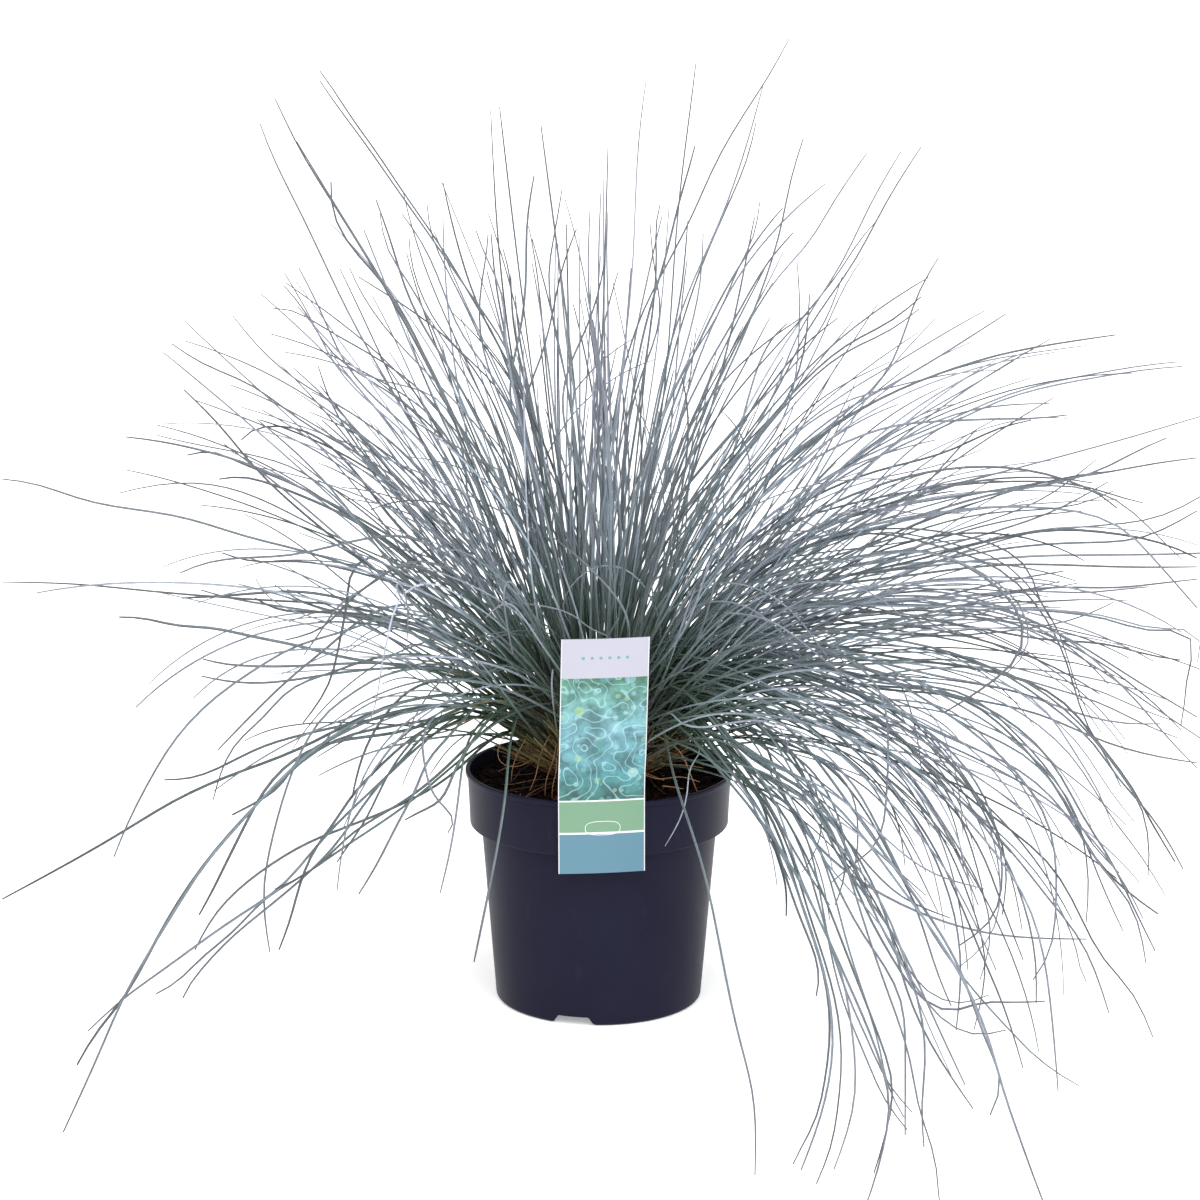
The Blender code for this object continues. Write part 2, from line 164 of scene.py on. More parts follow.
NEAR_LEFT = (
    (-0.09, 558, 687, 515, 687, 467, 699, 423, 722, 393, 746, 372, 776),
    (-0.08, 554, 689, 510, 702, 484, 722, 452, 746, 430, 775),
    (-0.06, 532, 715, 502, 711, 445, 702, 402, 696, 372, 698),
    (-0.07, 519, 716, 489, 716, 445, 732, 402, 739, 378, 752),
    (-0.10, 558, 640, 510, 633, 467, 641, 423, 663, 390, 672),
    (-0.09, 556, 676, 520, 668, 480, 676, 440, 683, 400, 678, 382, 684),
    (-0.07, 545, 705, 510, 700, 470, 712, 440, 728, 418, 752, 402, 786),
    (-0.10, 558, 656, 525, 640, 490, 648, 455, 668, 425, 700, 405, 738),
    (-0.06, 540, 690, 500, 676, 460, 668, 420, 664, 388, 670),
    (-0.08, 550, 700, 512, 712, 482, 734, 462, 752),
)
NEAR_RIGHT = (
    (-0.10, 650, 688, 688, 704, 735, 719, 783, 735, 830, 764, 859, 783, 900, 826, 926, 872),
    (-0.11, 654, 669, 688, 683, 735, 709, 773, 735, 807, 773, 830, 811, 854, 854, 872, 902),
    (-0.04, 650, 659, 700, 662, 750, 672, 798, 694, 850, 716, 900, 742, 950, 770, 978, 800),
    (-0.05, 664, 671, 724, 680, 780, 698, 830, 720, 870, 748, 905, 782, 930, 828),
    (-0.04, 654, 654, 720, 660, 780, 676, 835, 698, 880, 724, 925, 762, 962, 806),
    (-0.04, 680, 676, 750, 688, 820, 716, 870, 742, 915, 785, 950, 840, 968, 880),
    (-0.12, 654, 697, 697, 709, 740, 735, 773, 759, 807, 792, 840, 830, 868, 874),
    (-0.13, 652, 704, 676, 726, 702, 750, 723, 773, 735, 788, 759, 821, 788, 868, 800, 900),
    (-0.09, 688, 723, 735, 745, 792, 759, 854, 773, 905, 800, 940, 836),
    (-0.12, 669, 688, 711, 719, 747, 752, 773, 788, 802, 830, 820, 872, 830, 920),
    (-0.08, 711, 700, 759, 702, 807, 719, 854, 752, 900, 790, 950, 846),
    (-0.09, 660, 690, 715, 696, 770, 712, 830, 745, 880, 790, 915, 846),
    (-0.11, 658, 694, 706, 712, 760, 742, 815, 778, 858, 815, 890, 862),
)
UPPER_LEFT = (
    (0.02, 520, 630, 470, 560, 418, 500, 370, 450, 330, 415, 296, 392),
    (0.03, 510, 640, 455, 575, 400, 515, 350, 470, 300, 432, 262, 410),
    (-0.03, 500, 650, 440, 585, 385, 530, 335, 490, 290, 455),
    (0.05, 525, 625, 480, 550, 432, 480, 390, 425, 352, 380, 330, 352),
    (-0.05, 515, 640, 462, 570, 405, 505, 360, 455, 322, 420),
    (0.00, 505, 645, 450, 570, 400, 500, 362, 452, 330, 400, 318, 366),
    (0.04, 530, 620, 490, 555, 440, 500, 398, 462, 350, 430, 310, 412),
    (-0.02, 495, 655, 430, 590, 372, 540, 320, 500, 270, 470, 232, 452),
    (0.02, 520, 635, 466, 568, 412, 508, 372, 462, 345, 420),
    (-0.04, 512, 648, 452, 590, 396, 535, 352, 500, 318, 480),
)
RIGHT_BUNDLE = (
    (-0.14, 650, 660, 740, 664, 820, 688, 880, 722, 930, 768, 965, 830, 985, 900),
    (-0.12, 655, 655, 745, 655, 830, 678, 895, 715, 945, 765, 980, 825, 1000, 880),
    (-0.16, 650, 668, 730, 672, 800, 698, 860, 732, 912, 785, 945, 850, 962, 920, 968, 970),
    (-0.10, 660, 650, 750, 650, 835, 670, 905, 712, 960, 770, 1000, 838),
    (-0.15, 655, 665, 735, 668, 812, 694, 872, 728, 925, 780, 958, 840, 975, 915),
    (-0.13, 650, 655, 735, 652, 815, 668, 885, 702, 938, 748, 985, 815, 1012, 880, 1022, 930),
    (-0.11, 665, 655, 760, 660, 840, 690, 900, 728, 948, 782, 975, 850),
    (-0.17, 650, 672, 720, 678, 790, 706, 850, 744, 898, 796, 930, 860, 945, 930),
)
DEAD = (
    (-0.07, 520, 700, 490, 701, 471, 705, 455, 708, 444, 712),
    (-0.05, 505, 690, 485, 683, 465, 676, 444, 670),
    (-0.07, 500, 716, 460, 722, 434, 733, 412, 745),
)
PALE = (
    (-0.11, 640, 715, 672, 744, 700, 752, 691, 768, 688, 785, 683, 811, 665, 846),
    (-0.12, 490, 620, 450, 592, 430, 584, 412, 587, 398, 602, 388, 635, 381, 670, 375, 705, 371,
     718),
)
LOWER_LEFT = (
    (-0.10, 480, 640, 420, 615, 350, 632, 300, 647, 262, 667, 213, 700, 175, 740, 150, 780, 125,
     830, 114, 857),
    (-0.06, 470, 620, 410, 603, 370, 613, 330, 645, 300, 670, 262, 705, 218, 750),
    (-0.08, 450, 655, 380, 655, 330, 672, 290, 690, 262, 718, 235, 745, 220, 775, 213, 800),
    (-0.10, 510, 695, 440, 690, 380, 705, 330, 730, 290, 750, 240, 770, 175, 800, 125, 830, 50,
     873, 2, 899),
    (-0.08, 470, 700, 400, 710, 350, 722, 300, 735, 260, 748, 225, 765, 190, 778, 164, 780),
    (-0.26, 450, 690, 390, 700, 340, 725, 300, 755, 265, 790, 230, 830, 200, 868, 180, 900, 150,
     950, 122, 1000, 100, 1050, 63, 1132),
    (-0.22, 470, 705, 400, 715, 330, 735, 270, 785, 240, 818, 210, 855, 183, 895, 150, 952, 122,
     1000, 95, 1035, 77, 1065),
    (-0.20, 450, 715, 410, 745, 370, 785, 340, 815, 310, 850, 280, 885, 240, 915, 200, 943, 160,
     972, 122, 1000, 88, 1031),
    (-0.17, 500, 715, 450, 750, 400, 797, 345, 840, 300, 875, 265, 900, 235, 930, 200, 960, 175,
     983, 156, 994),
    (-0.17, 470, 720, 420, 760, 380, 800, 345, 842, 300, 882, 265, 910, 235, 935, 203, 968, 190,
     985, 183, 998),
    (-0.15, 500, 715, 450, 760, 400, 795, 340, 825, 310, 840, 270, 865, 240, 888, 215, 915, 200,
     940, 195, 950),
    (-0.12, 480, 715, 420, 735, 380, 742, 320, 750, 290, 765, 265, 790, 245, 825, 225, 865, 210,
     895, 199, 915),
    (-0.14, 430, 670, 375, 680, 350, 695, 325, 715, 310, 735, 295, 765, 280, 810, 270, 850, 265,
     880, 265, 915, 270, 952),
    (-0.15, 430, 720, 400, 740, 375, 765, 350, 795, 335, 820, 315, 850, 300, 885, 290, 920, 279,
     950),
    (-0.10, 440, 710, 380, 718, 330, 740, 295, 765, 280, 785, 255, 803, 232, 815),
    (-0.13, 500, 705, 440, 720, 405, 750, 385, 780, 365, 820, 345, 850, 337, 862),
    (-0.13, 480, 705, 445, 740, 425, 765, 415, 790, 400, 820, 375, 868, 359, 894),
    (-0.11, 500, 712, 468, 748, 453, 775, 440, 800, 420, 812, 405, 820),
    (-0.14, 515, 715, 465, 745, 440, 770, 400, 803, 350, 835, 320, 863, 300, 877, 275, 889),
    (-0.10, 470, 680, 410, 690, 385, 715, 365, 750, 352, 798),
)
TOP = (
    (0.02, 545, 560, 500, 340, 480, 307, 440, 245, 400, 187, 375, 150, 350, 115, 335, 92, 320,
     71),
    (-0.04, 520, 560, 450, 400, 400, 312, 340, 215, 300, 150, 275, 99),
    (0.05, 500, 560, 420, 430, 350, 315, 300, 212, 270, 150, 260, 124),
    (0.00, 520, 540, 440, 390, 380, 280, 350, 245, 333, 210, 331, 182),
    (-0.05, 530, 540, 450, 370, 410, 300, 390, 240, 376, 200),
    (0.04, 540, 520, 500, 390, 460, 330, 435, 270, 415, 232, 402, 214),
    (0.03, 550, 520, 490, 360, 450, 275, 432, 235, 427, 204),
    (-0.03, 560, 520, 520, 380, 480, 310, 462, 260, 450, 215, 443, 183),
    (0.06, 545, 520, 500, 390, 450, 340, 420, 290, 410, 250, 409, 236),
    (0.02, 550, 540, 515, 400, 505, 330, 500, 290, 485, 255, 476, 231),
    (-0.02, 555, 540, 520, 400, 500, 310, 494, 270, 491, 234),
    (-0.06, 560, 540, 500, 400, 480, 330, 482, 280, 486, 255, 488, 234),
    (0.05, 560, 540, 530, 400, 512, 310, 510, 280, 503, 249),
    (0.00, 565, 540, 510, 390, 520, 330, 526, 270, 527, 225, 534, 176),
    (0.03, 580, 540, 565, 380, 550, 300, 549, 270, 555, 230, 562, 189),
    (-0.04, 590, 540, 575, 400, 565, 330, 560, 275, 556, 243),
    (0.02, 600, 540, 600, 380, 590, 310, 588, 260, 590, 208),
    (0.04, 610, 540, 607, 380, 608, 310, 607, 250, 608, 212),
    (-0.05, 590, 540, 565, 380, 585, 330, 600, 285, 604, 265),
    (0.05, 590, 540, 596, 380, 605, 320, 618, 272),
    (-0.02, 600, 560, 622, 380, 627, 320, 631, 268),
    (0.00, 500, 560, 430, 400, 380, 360, 320, 325, 290, 310, 273, 308),
    (0.03, 490, 560, 420, 400, 350, 330, 310, 300, 286, 283),
    (-0.04, 500, 560, 400, 400, 330, 350, 300, 305, 284, 286),
    (0.06, 480, 560, 430, 395, 380, 380, 330, 362, 284, 352),
    (0.02, 480, 560, 400, 450, 330, 400, 300, 382, 260, 348, 233, 316),
    (-0.03, 490, 570, 420, 440, 350, 370, 320, 310, 299, 268),
    (0.04, 470, 570, 360, 460, 300, 420, 250, 385, 200, 362, 172, 344),
    (0.03, 610, 560, 650, 300, 665, 270, 690, 220, 720, 155, 750, 105, 775, 65, 789, 39),
    (-0.02, 640, 540, 690, 290, 720, 220, 740, 165, 755, 115, 763, 85),
    (0.05, 640, 560, 700, 270, 730, 200, 748, 155, 756, 122),
    (0.00, 620, 560, 650, 310, 665, 260, 680, 200, 690, 165, 695, 146),
    (-0.05, 650, 540, 720, 380, 745, 330, 765, 280, 780, 230, 792, 175, 803, 139),
    (0.05, 640, 560, 720, 380, 750, 320, 780, 275, 810, 240, 830, 208, 867, 153),
    (-0.04, 660, 560, 770, 400, 800, 330, 840, 265, 870, 205, 901, 151),
    (0.03, 650, 560, 740, 390, 800, 320, 840, 270, 860, 240, 877, 220),
    (0.00, 630, 540, 690, 360, 720, 310, 740, 265, 752, 240, 760, 201),
    (0.06, 640, 560, 720, 310, 750, 260, 775, 230, 800, 205, 825, 184),
    (-0.06, 640, 540, 700, 380, 740, 310, 770, 260, 793, 233),
    (0.04, 690, 560, 860, 400, 880, 380, 905, 330, 920, 290, 938, 258),
    (-0.03, 680, 570, 800, 390, 850, 350, 890, 330, 919, 309),
    (0.02, 690, 570, 850, 390, 900, 360, 950, 330, 984, 311),
    (-0.05, 700, 570, 830, 420, 900, 380, 950, 350, 1006, 314),
    (0.06, 650, 560, 790, 400, 799, 330, 799, 290, 797, 262),
    (0.02, 620, 540, 650, 330, 656, 250, 656, 225, 660, 204),
    (-0.03, 640, 540, 655, 360, 665, 260, 669, 204),
    (0.05, 620, 540, 640, 380, 660, 310, 655, 270, 650, 221),
    (-0.04, 640, 540, 670, 350, 680, 300, 688, 221),
    (0.00, 640, 560, 690, 330, 700, 280, 703, 233),
    (0.05, 650, 560, 760, 400, 800, 350, 838, 318),
    (0.00, 660, 560, 770, 420, 820, 360, 853, 321),
    (0.03, 640, 560, 780, 380, 810, 345, 830, 310, 842, 277),
)
RIGHT = (
    (0.05, 700, 560, 880, 400, 950, 370, 1000, 355, 1050, 345, 1116, 335),
    (-0.02, 720, 570, 880, 450, 950, 420, 1000, 398, 1050, 383, 1100, 373, 1150, 365, 1178, 362),
    (0.08, 700, 570, 850, 400, 900, 385, 950, 374, 1001, 370),
    (0.00, 700, 560, 850, 440, 900, 425, 950, 421, 1000, 419, 1040, 418, 1067, 415),
    (0.05, 720, 580, 880, 470, 950, 450, 1000, 428, 1031, 420),
    (-0.05, 720, 590, 880, 530, 1000, 493, 1060, 482, 1100, 470, 1140, 450, 1167, 438),
    (0.03, 730, 590, 900, 510, 1000, 490, 1060, 480, 1110, 472, 1160, 463, 1197, 458),
    (-0.08, 720, 580, 880, 485, 940, 470, 1000, 467, 1050, 475, 1080, 485, 1100, 495, 1117, 508),
    (0.06, 720, 580, 880, 500, 1000, 482, 1060, 483, 1090, 488, 1120, 497, 1143, 503),
    (-0.10, 730, 590, 900, 525, 980, 510, 1040, 508, 1090, 515, 1130, 535, 1150, 555, 1175, 583,
     1197, 608),
    (0.00, 730, 600, 900, 555, 1000, 530, 1060, 508, 1085, 495, 1108, 482),
    (0.05, 740, 610, 900, 570, 1000, 550, 1080, 543, 1140, 538, 1197, 511),
    (-0.04, 740, 600, 900, 560, 1000, 538, 1060, 530, 1110, 533, 1150, 540, 1180, 550, 1197, 558),
    (0.02, 740, 610, 900, 575, 1000, 565, 1060, 565, 1120, 567, 1197, 567),
    (-0.06, 740, 620, 900, 600, 1000, 592, 1060, 587, 1120, 587, 1160, 583, 1197, 579),
    (0.05, 740, 620, 900, 610, 980, 597, 1040, 590, 1078, 583),
    (0.00, 740, 630, 880, 612, 960, 605, 1020, 602, 1079, 600),
    (-0.03, 740, 640, 880, 635, 960, 635, 1030, 628, 1080, 617, 1114, 602),
    (-0.08, 740, 620, 900, 605, 1000, 608, 1060, 612, 1110, 620, 1150, 630, 1189, 637, 1193, 643,
     1190, 665, 1185, 700, 1181, 726),
    (-0.05, 740, 620, 880, 620, 980, 630, 1050, 640, 1110, 645, 1150, 655, 1180, 660),
    (-0.12, 730, 600, 880, 535, 950, 550, 1000, 570, 1040, 610, 1060, 645, 1075, 690, 1090, 730,
     1105, 755, 1121, 787),
    (-0.10, 740, 590, 880, 530, 960, 535, 1005, 550, 1028, 570, 1040, 600, 1057, 628),
    (-0.14, 730, 600, 860, 560, 930, 555, 980, 575, 1010, 600, 1023, 630, 1018, 655, 1000, 675,
     980, 690, 945, 712),
    (-0.10, 740, 640, 860, 600, 960, 600, 1030, 620, 1080, 645, 1120, 670, 1160, 695, 1197, 717),
    (-0.12, 740, 640, 860, 605, 950, 595, 1020, 615, 1060, 635, 1100, 665, 1140, 705, 1170, 740,
     1197, 768),
    (-0.08, 740, 640, 880, 620, 980, 610, 1050, 635, 1090, 665, 1108, 684),
    (-0.06, 750, 660, 860, 655, 950, 660, 1000, 672, 1060, 690, 1100, 703, 1140, 722, 1178, 738),
    (-0.08, 750, 670, 860, 670, 960, 695, 1040, 715, 1100, 740, 1160, 757, 1197, 763),
)
LOWER_RIGHT = (
    (-0.14, 750, 640, 900, 640, 1000, 672, 1050, 705, 1090, 740, 1120, 780, 1150, 815, 1170, 845,
     1183, 869),
    (-0.12, 750, 640, 900, 655, 990, 670, 1060, 700, 1100, 745, 1130, 785, 1150, 820, 1175, 862),
    (-0.15, 750, 650, 880, 660, 960, 660, 1040, 690, 1090, 735, 1125, 780, 1140, 805, 1147, 830,
     1149, 860, 1148, 876),
    (-0.16, 750, 660, 870, 680, 950, 690, 1010, 720, 1050, 760, 1085, 820, 1110, 860, 1130, 900,
     1155, 951),
    (-0.14, 750, 660, 880, 690, 960, 700, 1020, 745, 1060, 795, 1090, 850, 1120, 885, 1158, 914),
    (-0.16, 750, 660, 860, 690, 960, 740, 1020, 770, 1070, 820, 1100, 865, 1130, 905, 1146, 964),
    (-0.15, 750, 660, 880, 670, 960, 720, 1030, 760, 1080, 830, 1100, 880, 1123, 931),
    (-0.18, 740, 660, 860, 700, 930, 760, 1000, 820, 1050, 865, 1080, 915, 1105, 960, 1130, 990,
     1153, 1037),
    (-0.16, 700, 690, 752, 702, 860, 720, 930, 780, 1000, 840, 1050, 900, 1080, 940, 1109, 1013),
    (-0.12, 688, 694, 758, 716, 780, 770, 830, 850, 880, 890, 940, 920, 990, 933, 1040, 938, 1087,
     939),
    (-0.20, 684, 718, 724, 757, 800, 800, 860, 900, 900, 970, 925, 1000, 950, 1010, 980, 1003,
     1010, 1002, 1045, 1001),
    (-0.16, 750, 650, 900, 690, 980, 740, 1030, 790, 1050, 830, 1056, 870, 1055, 920, 1048, 955,
     1033, 980),
    (-0.18, 700, 690, 752, 702, 860, 740, 950, 790, 1000, 850, 1025, 910, 1035, 960, 1036, 1003),
    (-0.20, 704, 684, 770, 698, 850, 760, 930, 850, 980, 950, 1005, 1010, 1023, 1068),
    (-0.22, 696, 688, 764, 706, 880, 740, 980, 830, 1030, 910, 1050, 1000, 1058, 1091),
    (-0.22, 700, 710, 770, 742, 830, 780, 900, 870, 950, 950, 985, 1030, 1003, 1090, 1020, 1140,
     1041, 1197, 1051, 1222),
    (-0.20, 688, 694, 758, 716, 830, 790, 900, 880, 960, 970, 990, 1050, 1000, 1080, 990, 1115),
    (-0.20, 692, 704, 764, 732, 820, 800, 880, 900, 910, 1000, 940, 1060, 973, 1109),
    (-0.20, 700, 710, 770, 742, 830, 850, 890, 930, 930, 1010, 965, 1085),
    (-0.24, 680, 706, 728, 752, 800, 800, 860, 920, 890, 1000, 910, 1060, 920, 1110, 935, 1160,
     939, 1197, 941, 1214),
    (-0.22, 692, 704, 764, 732, 820, 820, 880, 900, 905, 960, 920, 1010, 925, 1060, 922, 1110,
     924, 1147),
    (-0.22, 690, 718, 732, 765, 790, 800, 850, 950, 880, 1050, 890, 1090, 904, 1117),
    (-0.23, 680, 706, 728, 752, 800, 820, 860, 930, 900, 1000, 905, 1050, 905, 1100, 905, 1135),
    (-0.23, 684, 718, 724, 757, 770, 790, 820, 900, 850, 1000, 870, 1045, 890, 1085, 912, 1112),
    (-0.24, 690, 718, 732, 765, 780, 830, 850, 980, 880, 1060, 889, 1100, 885, 1140, 870, 1194,
     865, 1208),
    (-0.22, 680, 706, 728, 752, 770, 800, 800, 880, 840, 970, 852, 1030, 854, 1100, 834, 1169),
    (-0.23, 684, 718, 724, 757, 760, 800, 800, 900, 825, 980, 830, 1030, 825, 1080, 815, 1120,
     800, 1150, 793, 1164),
    (-0.23, 690, 718, 732, 765, 770, 820, 810, 920, 828, 990, 832, 1050, 822, 1110, 801, 1170),
    (-0.18, 680, 706, 728, 752, 770, 820, 790, 890, 805, 930, 817, 965, 818, 985, 816, 996),
    (-0.16, 684, 718, 724, 757, 760, 800, 775, 850, 785, 885, 786, 916),
    (-0.14, 740, 640, 840, 650, 880, 690, 888, 740, 886, 800, 875, 845, 850, 867, 832, 882),
    (-0.14, 700, 710, 770, 742, 800, 760, 835, 810, 845, 850, 843, 880, 835, 905),
    (-0.14, 688, 694, 758, 716, 810, 750, 850, 790, 858, 830, 855, 865, 852, 878),
    (-0.16, 684, 718, 724, 757, 800, 800, 860, 855, 900, 895, 950, 918),
    (-0.18, 700, 710, 770, 742, 830, 760, 880, 830, 920, 920, 940, 980, 951, 1006),
    (-0.18, 704, 684, 770, 698, 860, 760, 930, 850, 950, 900, 960, 960, 956, 1030),
    (-0.18, 696, 688, 764, 706, 870, 750, 940, 830, 970, 900, 985, 960, 974, 1030),
    (-0.16, 700, 690, 752, 702, 880, 750, 960, 850, 985, 900, 990, 940, 980, 980),
    (-0.16, 704, 684, 770, 698, 900, 760, 980, 850, 1000, 900, 1023, 960),
    (-0.15, 745, 660, 880, 710, 980, 800, 1005, 860, 1002, 915),
    (-0.15, 745, 660, 890, 700, 980, 790, 1000, 850, 990, 920, 960, 945),
    (-0.13, 700, 727, 730, 762, 750, 800, 775, 850, 790, 880),
    (-0.12, 700, 722, 735, 757, 765, 800, 800, 860, 830, 905),
)

# For each group: its leaves, the share with companions, how far their depth strays, the
# ranges of their tones and widths, and how dead they are
DRAWN_LEAVES = {
    "left": (LEFT, 0.0, 0.02, (0.00, 0.44), (1.25, 1.50), 0.0),
    "front": (FRONT, 0.0, 0.0, (0.05, 0.62), (1.10, 1.40), 0.0),
    "curls": (CURLS, 0.0, 0.0, (0.40, 0.72), (0.70, 0.90), 0.0),
    "near_left": (NEAR_LEFT, 0.0, 0.0, (0.00, 0.60), (0.78, 0.98), 0.0),
    "near_right": (NEAR_RIGHT, 0.0, 0.0, (0.15, 0.90), (0.80, 1.02), 0.0),
    "upper_left": (UPPER_LEFT, 0.05, 0.04, (0.05, 0.80), (0.95, 1.20), 0.0),
    "right_bundle": (RIGHT_BUNDLE, 0.0, 0.0, (0.20, 0.92), (0.85, 1.10), 0.0),
    "dead": (DEAD, 0.0, 0.0, (0.30, 0.60), (1.00, 1.20), 0.75),
    "pale": (PALE, 0.0, 0.0, (0.90, 1.00), (0.75, 0.95), 0.0),
    "lower_left": (LOWER_LEFT, 0.0, 0.0, (0.00, 0.38), (1.30, 1.55), 0.0),
    "top": (TOP, 0.16, 0.06, (0.10, 0.66), (1.02, 1.28), 0.0),
    "right": (RIGHT, 0.33, 0.02, (0.05, 0.62), (1.10, 1.40), 0.0),
    "lower_right": (LOWER_RIGHT, 0.34, 0.0, (0.00, 0.58), (1.15, 1.42), 0.0),
}

# Dead strands on the soil, drawn in the same way: their depth, then x and y of their pixels
DRAWN_STRANDS = (
    (-0.046, 556, 745, 554, 757, 550, 769, 546, 782, 545, 796),
    (-0.050, 560, 740, 557, 757, 556, 772, 553, 785, 552, 799),
    (-0.042, 550, 735, 540, 757, 536, 775, 530, 790),
    (-0.030, 522, 728, 507, 737, 498, 751, 501, 762, 519, 766, 532, 759),
    (-0.034, 528, 735, 519, 751, 513, 767, 511, 781),
    (-0.030, 648, 742, 664, 750, 680, 756, 704, 765),
    (-0.040, 640, 755, 659, 763, 682, 765, 703, 768),
    (-0.050, 655, 735, 680, 752, 688, 768, 698, 794),
    (-0.056, 662, 786, 672, 787, 684, 789),
    (-0.052, 645, 775, 660, 779, 676, 777, 700, 782),
)


# Geometry that the leaves share

STEPS = 34
FLOOR_CLEARANCE = 0.0009
# A leaf that hangs flattens out below this height.
LANDING_HEIGHT = 0.035
LANDING_CURVE = 0.7
# A wave's part up and down, against its part sideways: size, speed and phase
NOD = (0.6, 1.3, 2.0)
SHALLOWEST_SHARE = 0.2
STEEPEST_TIP = 215.0
HALVINGS = 40


def seeded(name):
    """Random numbers that are the same at each run for the same name."""
    return np.random.RandomState(zlib.crc32(name.encode()))


def directions(azimuths, leans):
    """Unit vectors from azimuths and leans, in radians."""
    flat = np.sin(leans)
    return np.stack([flat * np.cos(azimuths), flat * np.sin(azimuths), np.cos(leans)], -1)


def from_crown(azimuth, lean, reach):
    """Points at a reach from the crown's centre, from angles in radians."""
    return np.array(CROWN_CENTRE) + reach * directions(azimuth, lean)


def grow(start, azimuth, swing, base_lean, tip_lean, lateness, length, wave=None, floor=0.0):
    """Paths of leaves, one for each entry of the arrays given, in radians and metres. A leaf
    bends over evenly or later towards its tip, and never goes through the floor."""
    lowest = floor + FLOOR_CLEARANCE
    place = np.array(start, float)
    paths = [place.copy()]
    for step in range(STEPS):
        share = (step + 0.5) / STEPS
        turn = azimuth + swing * share
        lean = base_lean + (tip_lean - base_lean) * share**lateness
        if wave is not None:
            size, speed, phase, kink, kink_share = wave
            turn = turn + size * np.sin(speed * share + phase)
            lean = lean + NOD[0] * size * np.sin(NOD[1] * speed * share + NOD[2] * phase)
            lean = lean + kink * (share > kink_share)
        room = np.clip((place[:, 2] - lowest) / LANDING_HEIGHT, 0.0, 1.0)
        flat = math.pi / 2.0
        lean = np.where(lean > flat, flat + (lean - flat) * room**LANDING_CURVE, lean)
        place = place + directions(turn, lean) * (length / STEPS)[:, None]
        place[:, 2] = np.maximum(place[:, 2], lowest)
        paths.append(place.copy())
    return np.stack(paths, 1)


def to_reach(start, target, swing, base_lean, lateness):
    """Azimuth, tip lean and length of the leaves that end at the targets."""
    offset = target - start
    wanted = np.arctan2(np.hypot(offset[:, 0], offset[:, 1]), offset[:, 2])
    low = base_lean * SHALLOWEST_SHARE
    high = np.full(len(base_lean), math.radians(STEEPEST_TIP))
    shares = (np.arange(STEPS) + 0.5) / STEPS
    bend = shares[None, :] ** lateness[:, None]
    turn = swing[:, None] * shares
    for _ in range(HALVINGS):
        middle = (low + high) / 2.0
        lean = base_lean[:, None] + (middle - base_lean)[:, None] * bend
        chord = directions(turn, lean).mean(1)
        reached = np.arctan2(np.hypot(chord[:, 0], chord[:, 1]), chord[:, 2])
        low = np.where(reached < wanted, middle, low)
        high = np.where(reached < wanted, high, middle)
    length = np.linalg.norm(offset, axis=1) / np.linalg.norm(chord, axis=1)
    azimuth = np.arctan2(offset[:, 1], offset[:, 0]) - np.arctan2(chord[:, 1], chord[:, 0])
    return azimuth, middle, length


def camera_matrix():
    """Where the camera stands and which way it looks."""
    tilt = Matrix.Rotation(math.radians(90.0 - CAMERA_PITCH), 4, "X")
    roll = Matrix.Rotation(math.radians(CAMERA_ROLL), 4, "Z")
    return Matrix.Translation(CAMERA_PLACE) @ tilt @ roll


def pixel_ray(across, down):
    """The direction in which the photograph's camera sees a pixel."""
    scale = CAMERA_SENSOR / CAMERA_LENS / PHOTO_SIDE
    half = PHOTO_SIDE / 2.0
    way = Vector(((across - half) * scale, (half - down) * scale, -1.0))
    return camera_matrix().to_3x3() @ way


def seen_at(pixel, depth):
    """The point that a pixel shows at Y = depth, or on the floor if that would be below it."""
    way = pixel_ray(*pixel)
    point = CAMERA_PLACE + way * ((depth - CAMERA_PLACE.y) / way.y)
    if point.z < FLOOR_CLEARANCE:
        point = CAMERA_PLACE + way * ((FLOOR_CLEARANCE - CAMERA_PLACE.z) / way.z)
    return point


def pairs(values):
    """Pixels from a flat row of x and y in turn."""
    return list(zip(values[::2], values[1::2]))


# What the leaves keep clear of

LABEL_WIDTH = 0.0545
LABEL_LENGTH = 0.1585
LABEL_THICKNESS = 0.0006
LABEL_FOOT = 0.1087
LABEL_SHIFT = -0.0088
LABEL_FACES = 7.0
LABEL_TURN = 0.4
LABEL_LEAN = 12.0
LABEL_CURVE_RADIUS = 0.25
LABEL_BEND = 0.0467
LABEL_FRONT = -LIP_RADIUS - LABEL_THICKNESS - 2.0 * GAP
# Room round the label: beside it, below it, above it and behind its face
LABEL_ROOM = (0.002, 0.012, 0.003, 0.004)
POT_ROOM = 0.0016
RIM_ROOM = 0.0015
SOIL_ROOM = 0.002
HEART_REACH = 0.030
# The lowest that leaves may run over the soil: a slope up from the crown, then level
FAN_FOOT = 0.030
FAN_LIFT = 0.006
FAN_SLOPE = 1.0
FAN_RISE = 0.026
FAN_PAST_LIP = 0.002
# Between these azimuths they may run lower.
LOW_SIDE = (-78.0, -8.0)
LOW_RISE = 0.013
# The share of the frame's box that leaves may stand past it
BOX_ROOM = 0.02
# No more than this many of a path's points may lie this low.
LYING_HEIGHT = 0.003
MOST_LYING = 1


def label_place():
    """From the label's own coordinates to the frame's."""
    facing = Matrix.Rotation(math.radians(LABEL_FACES), 4, "Z")
    turn = Matrix.Rotation(math.radians(-LABEL_TURN), 4, "Y")
    return facing @ Matrix.Translation((LABEL_SHIFT, 0.0, LABEL_FOOT)) @ turn


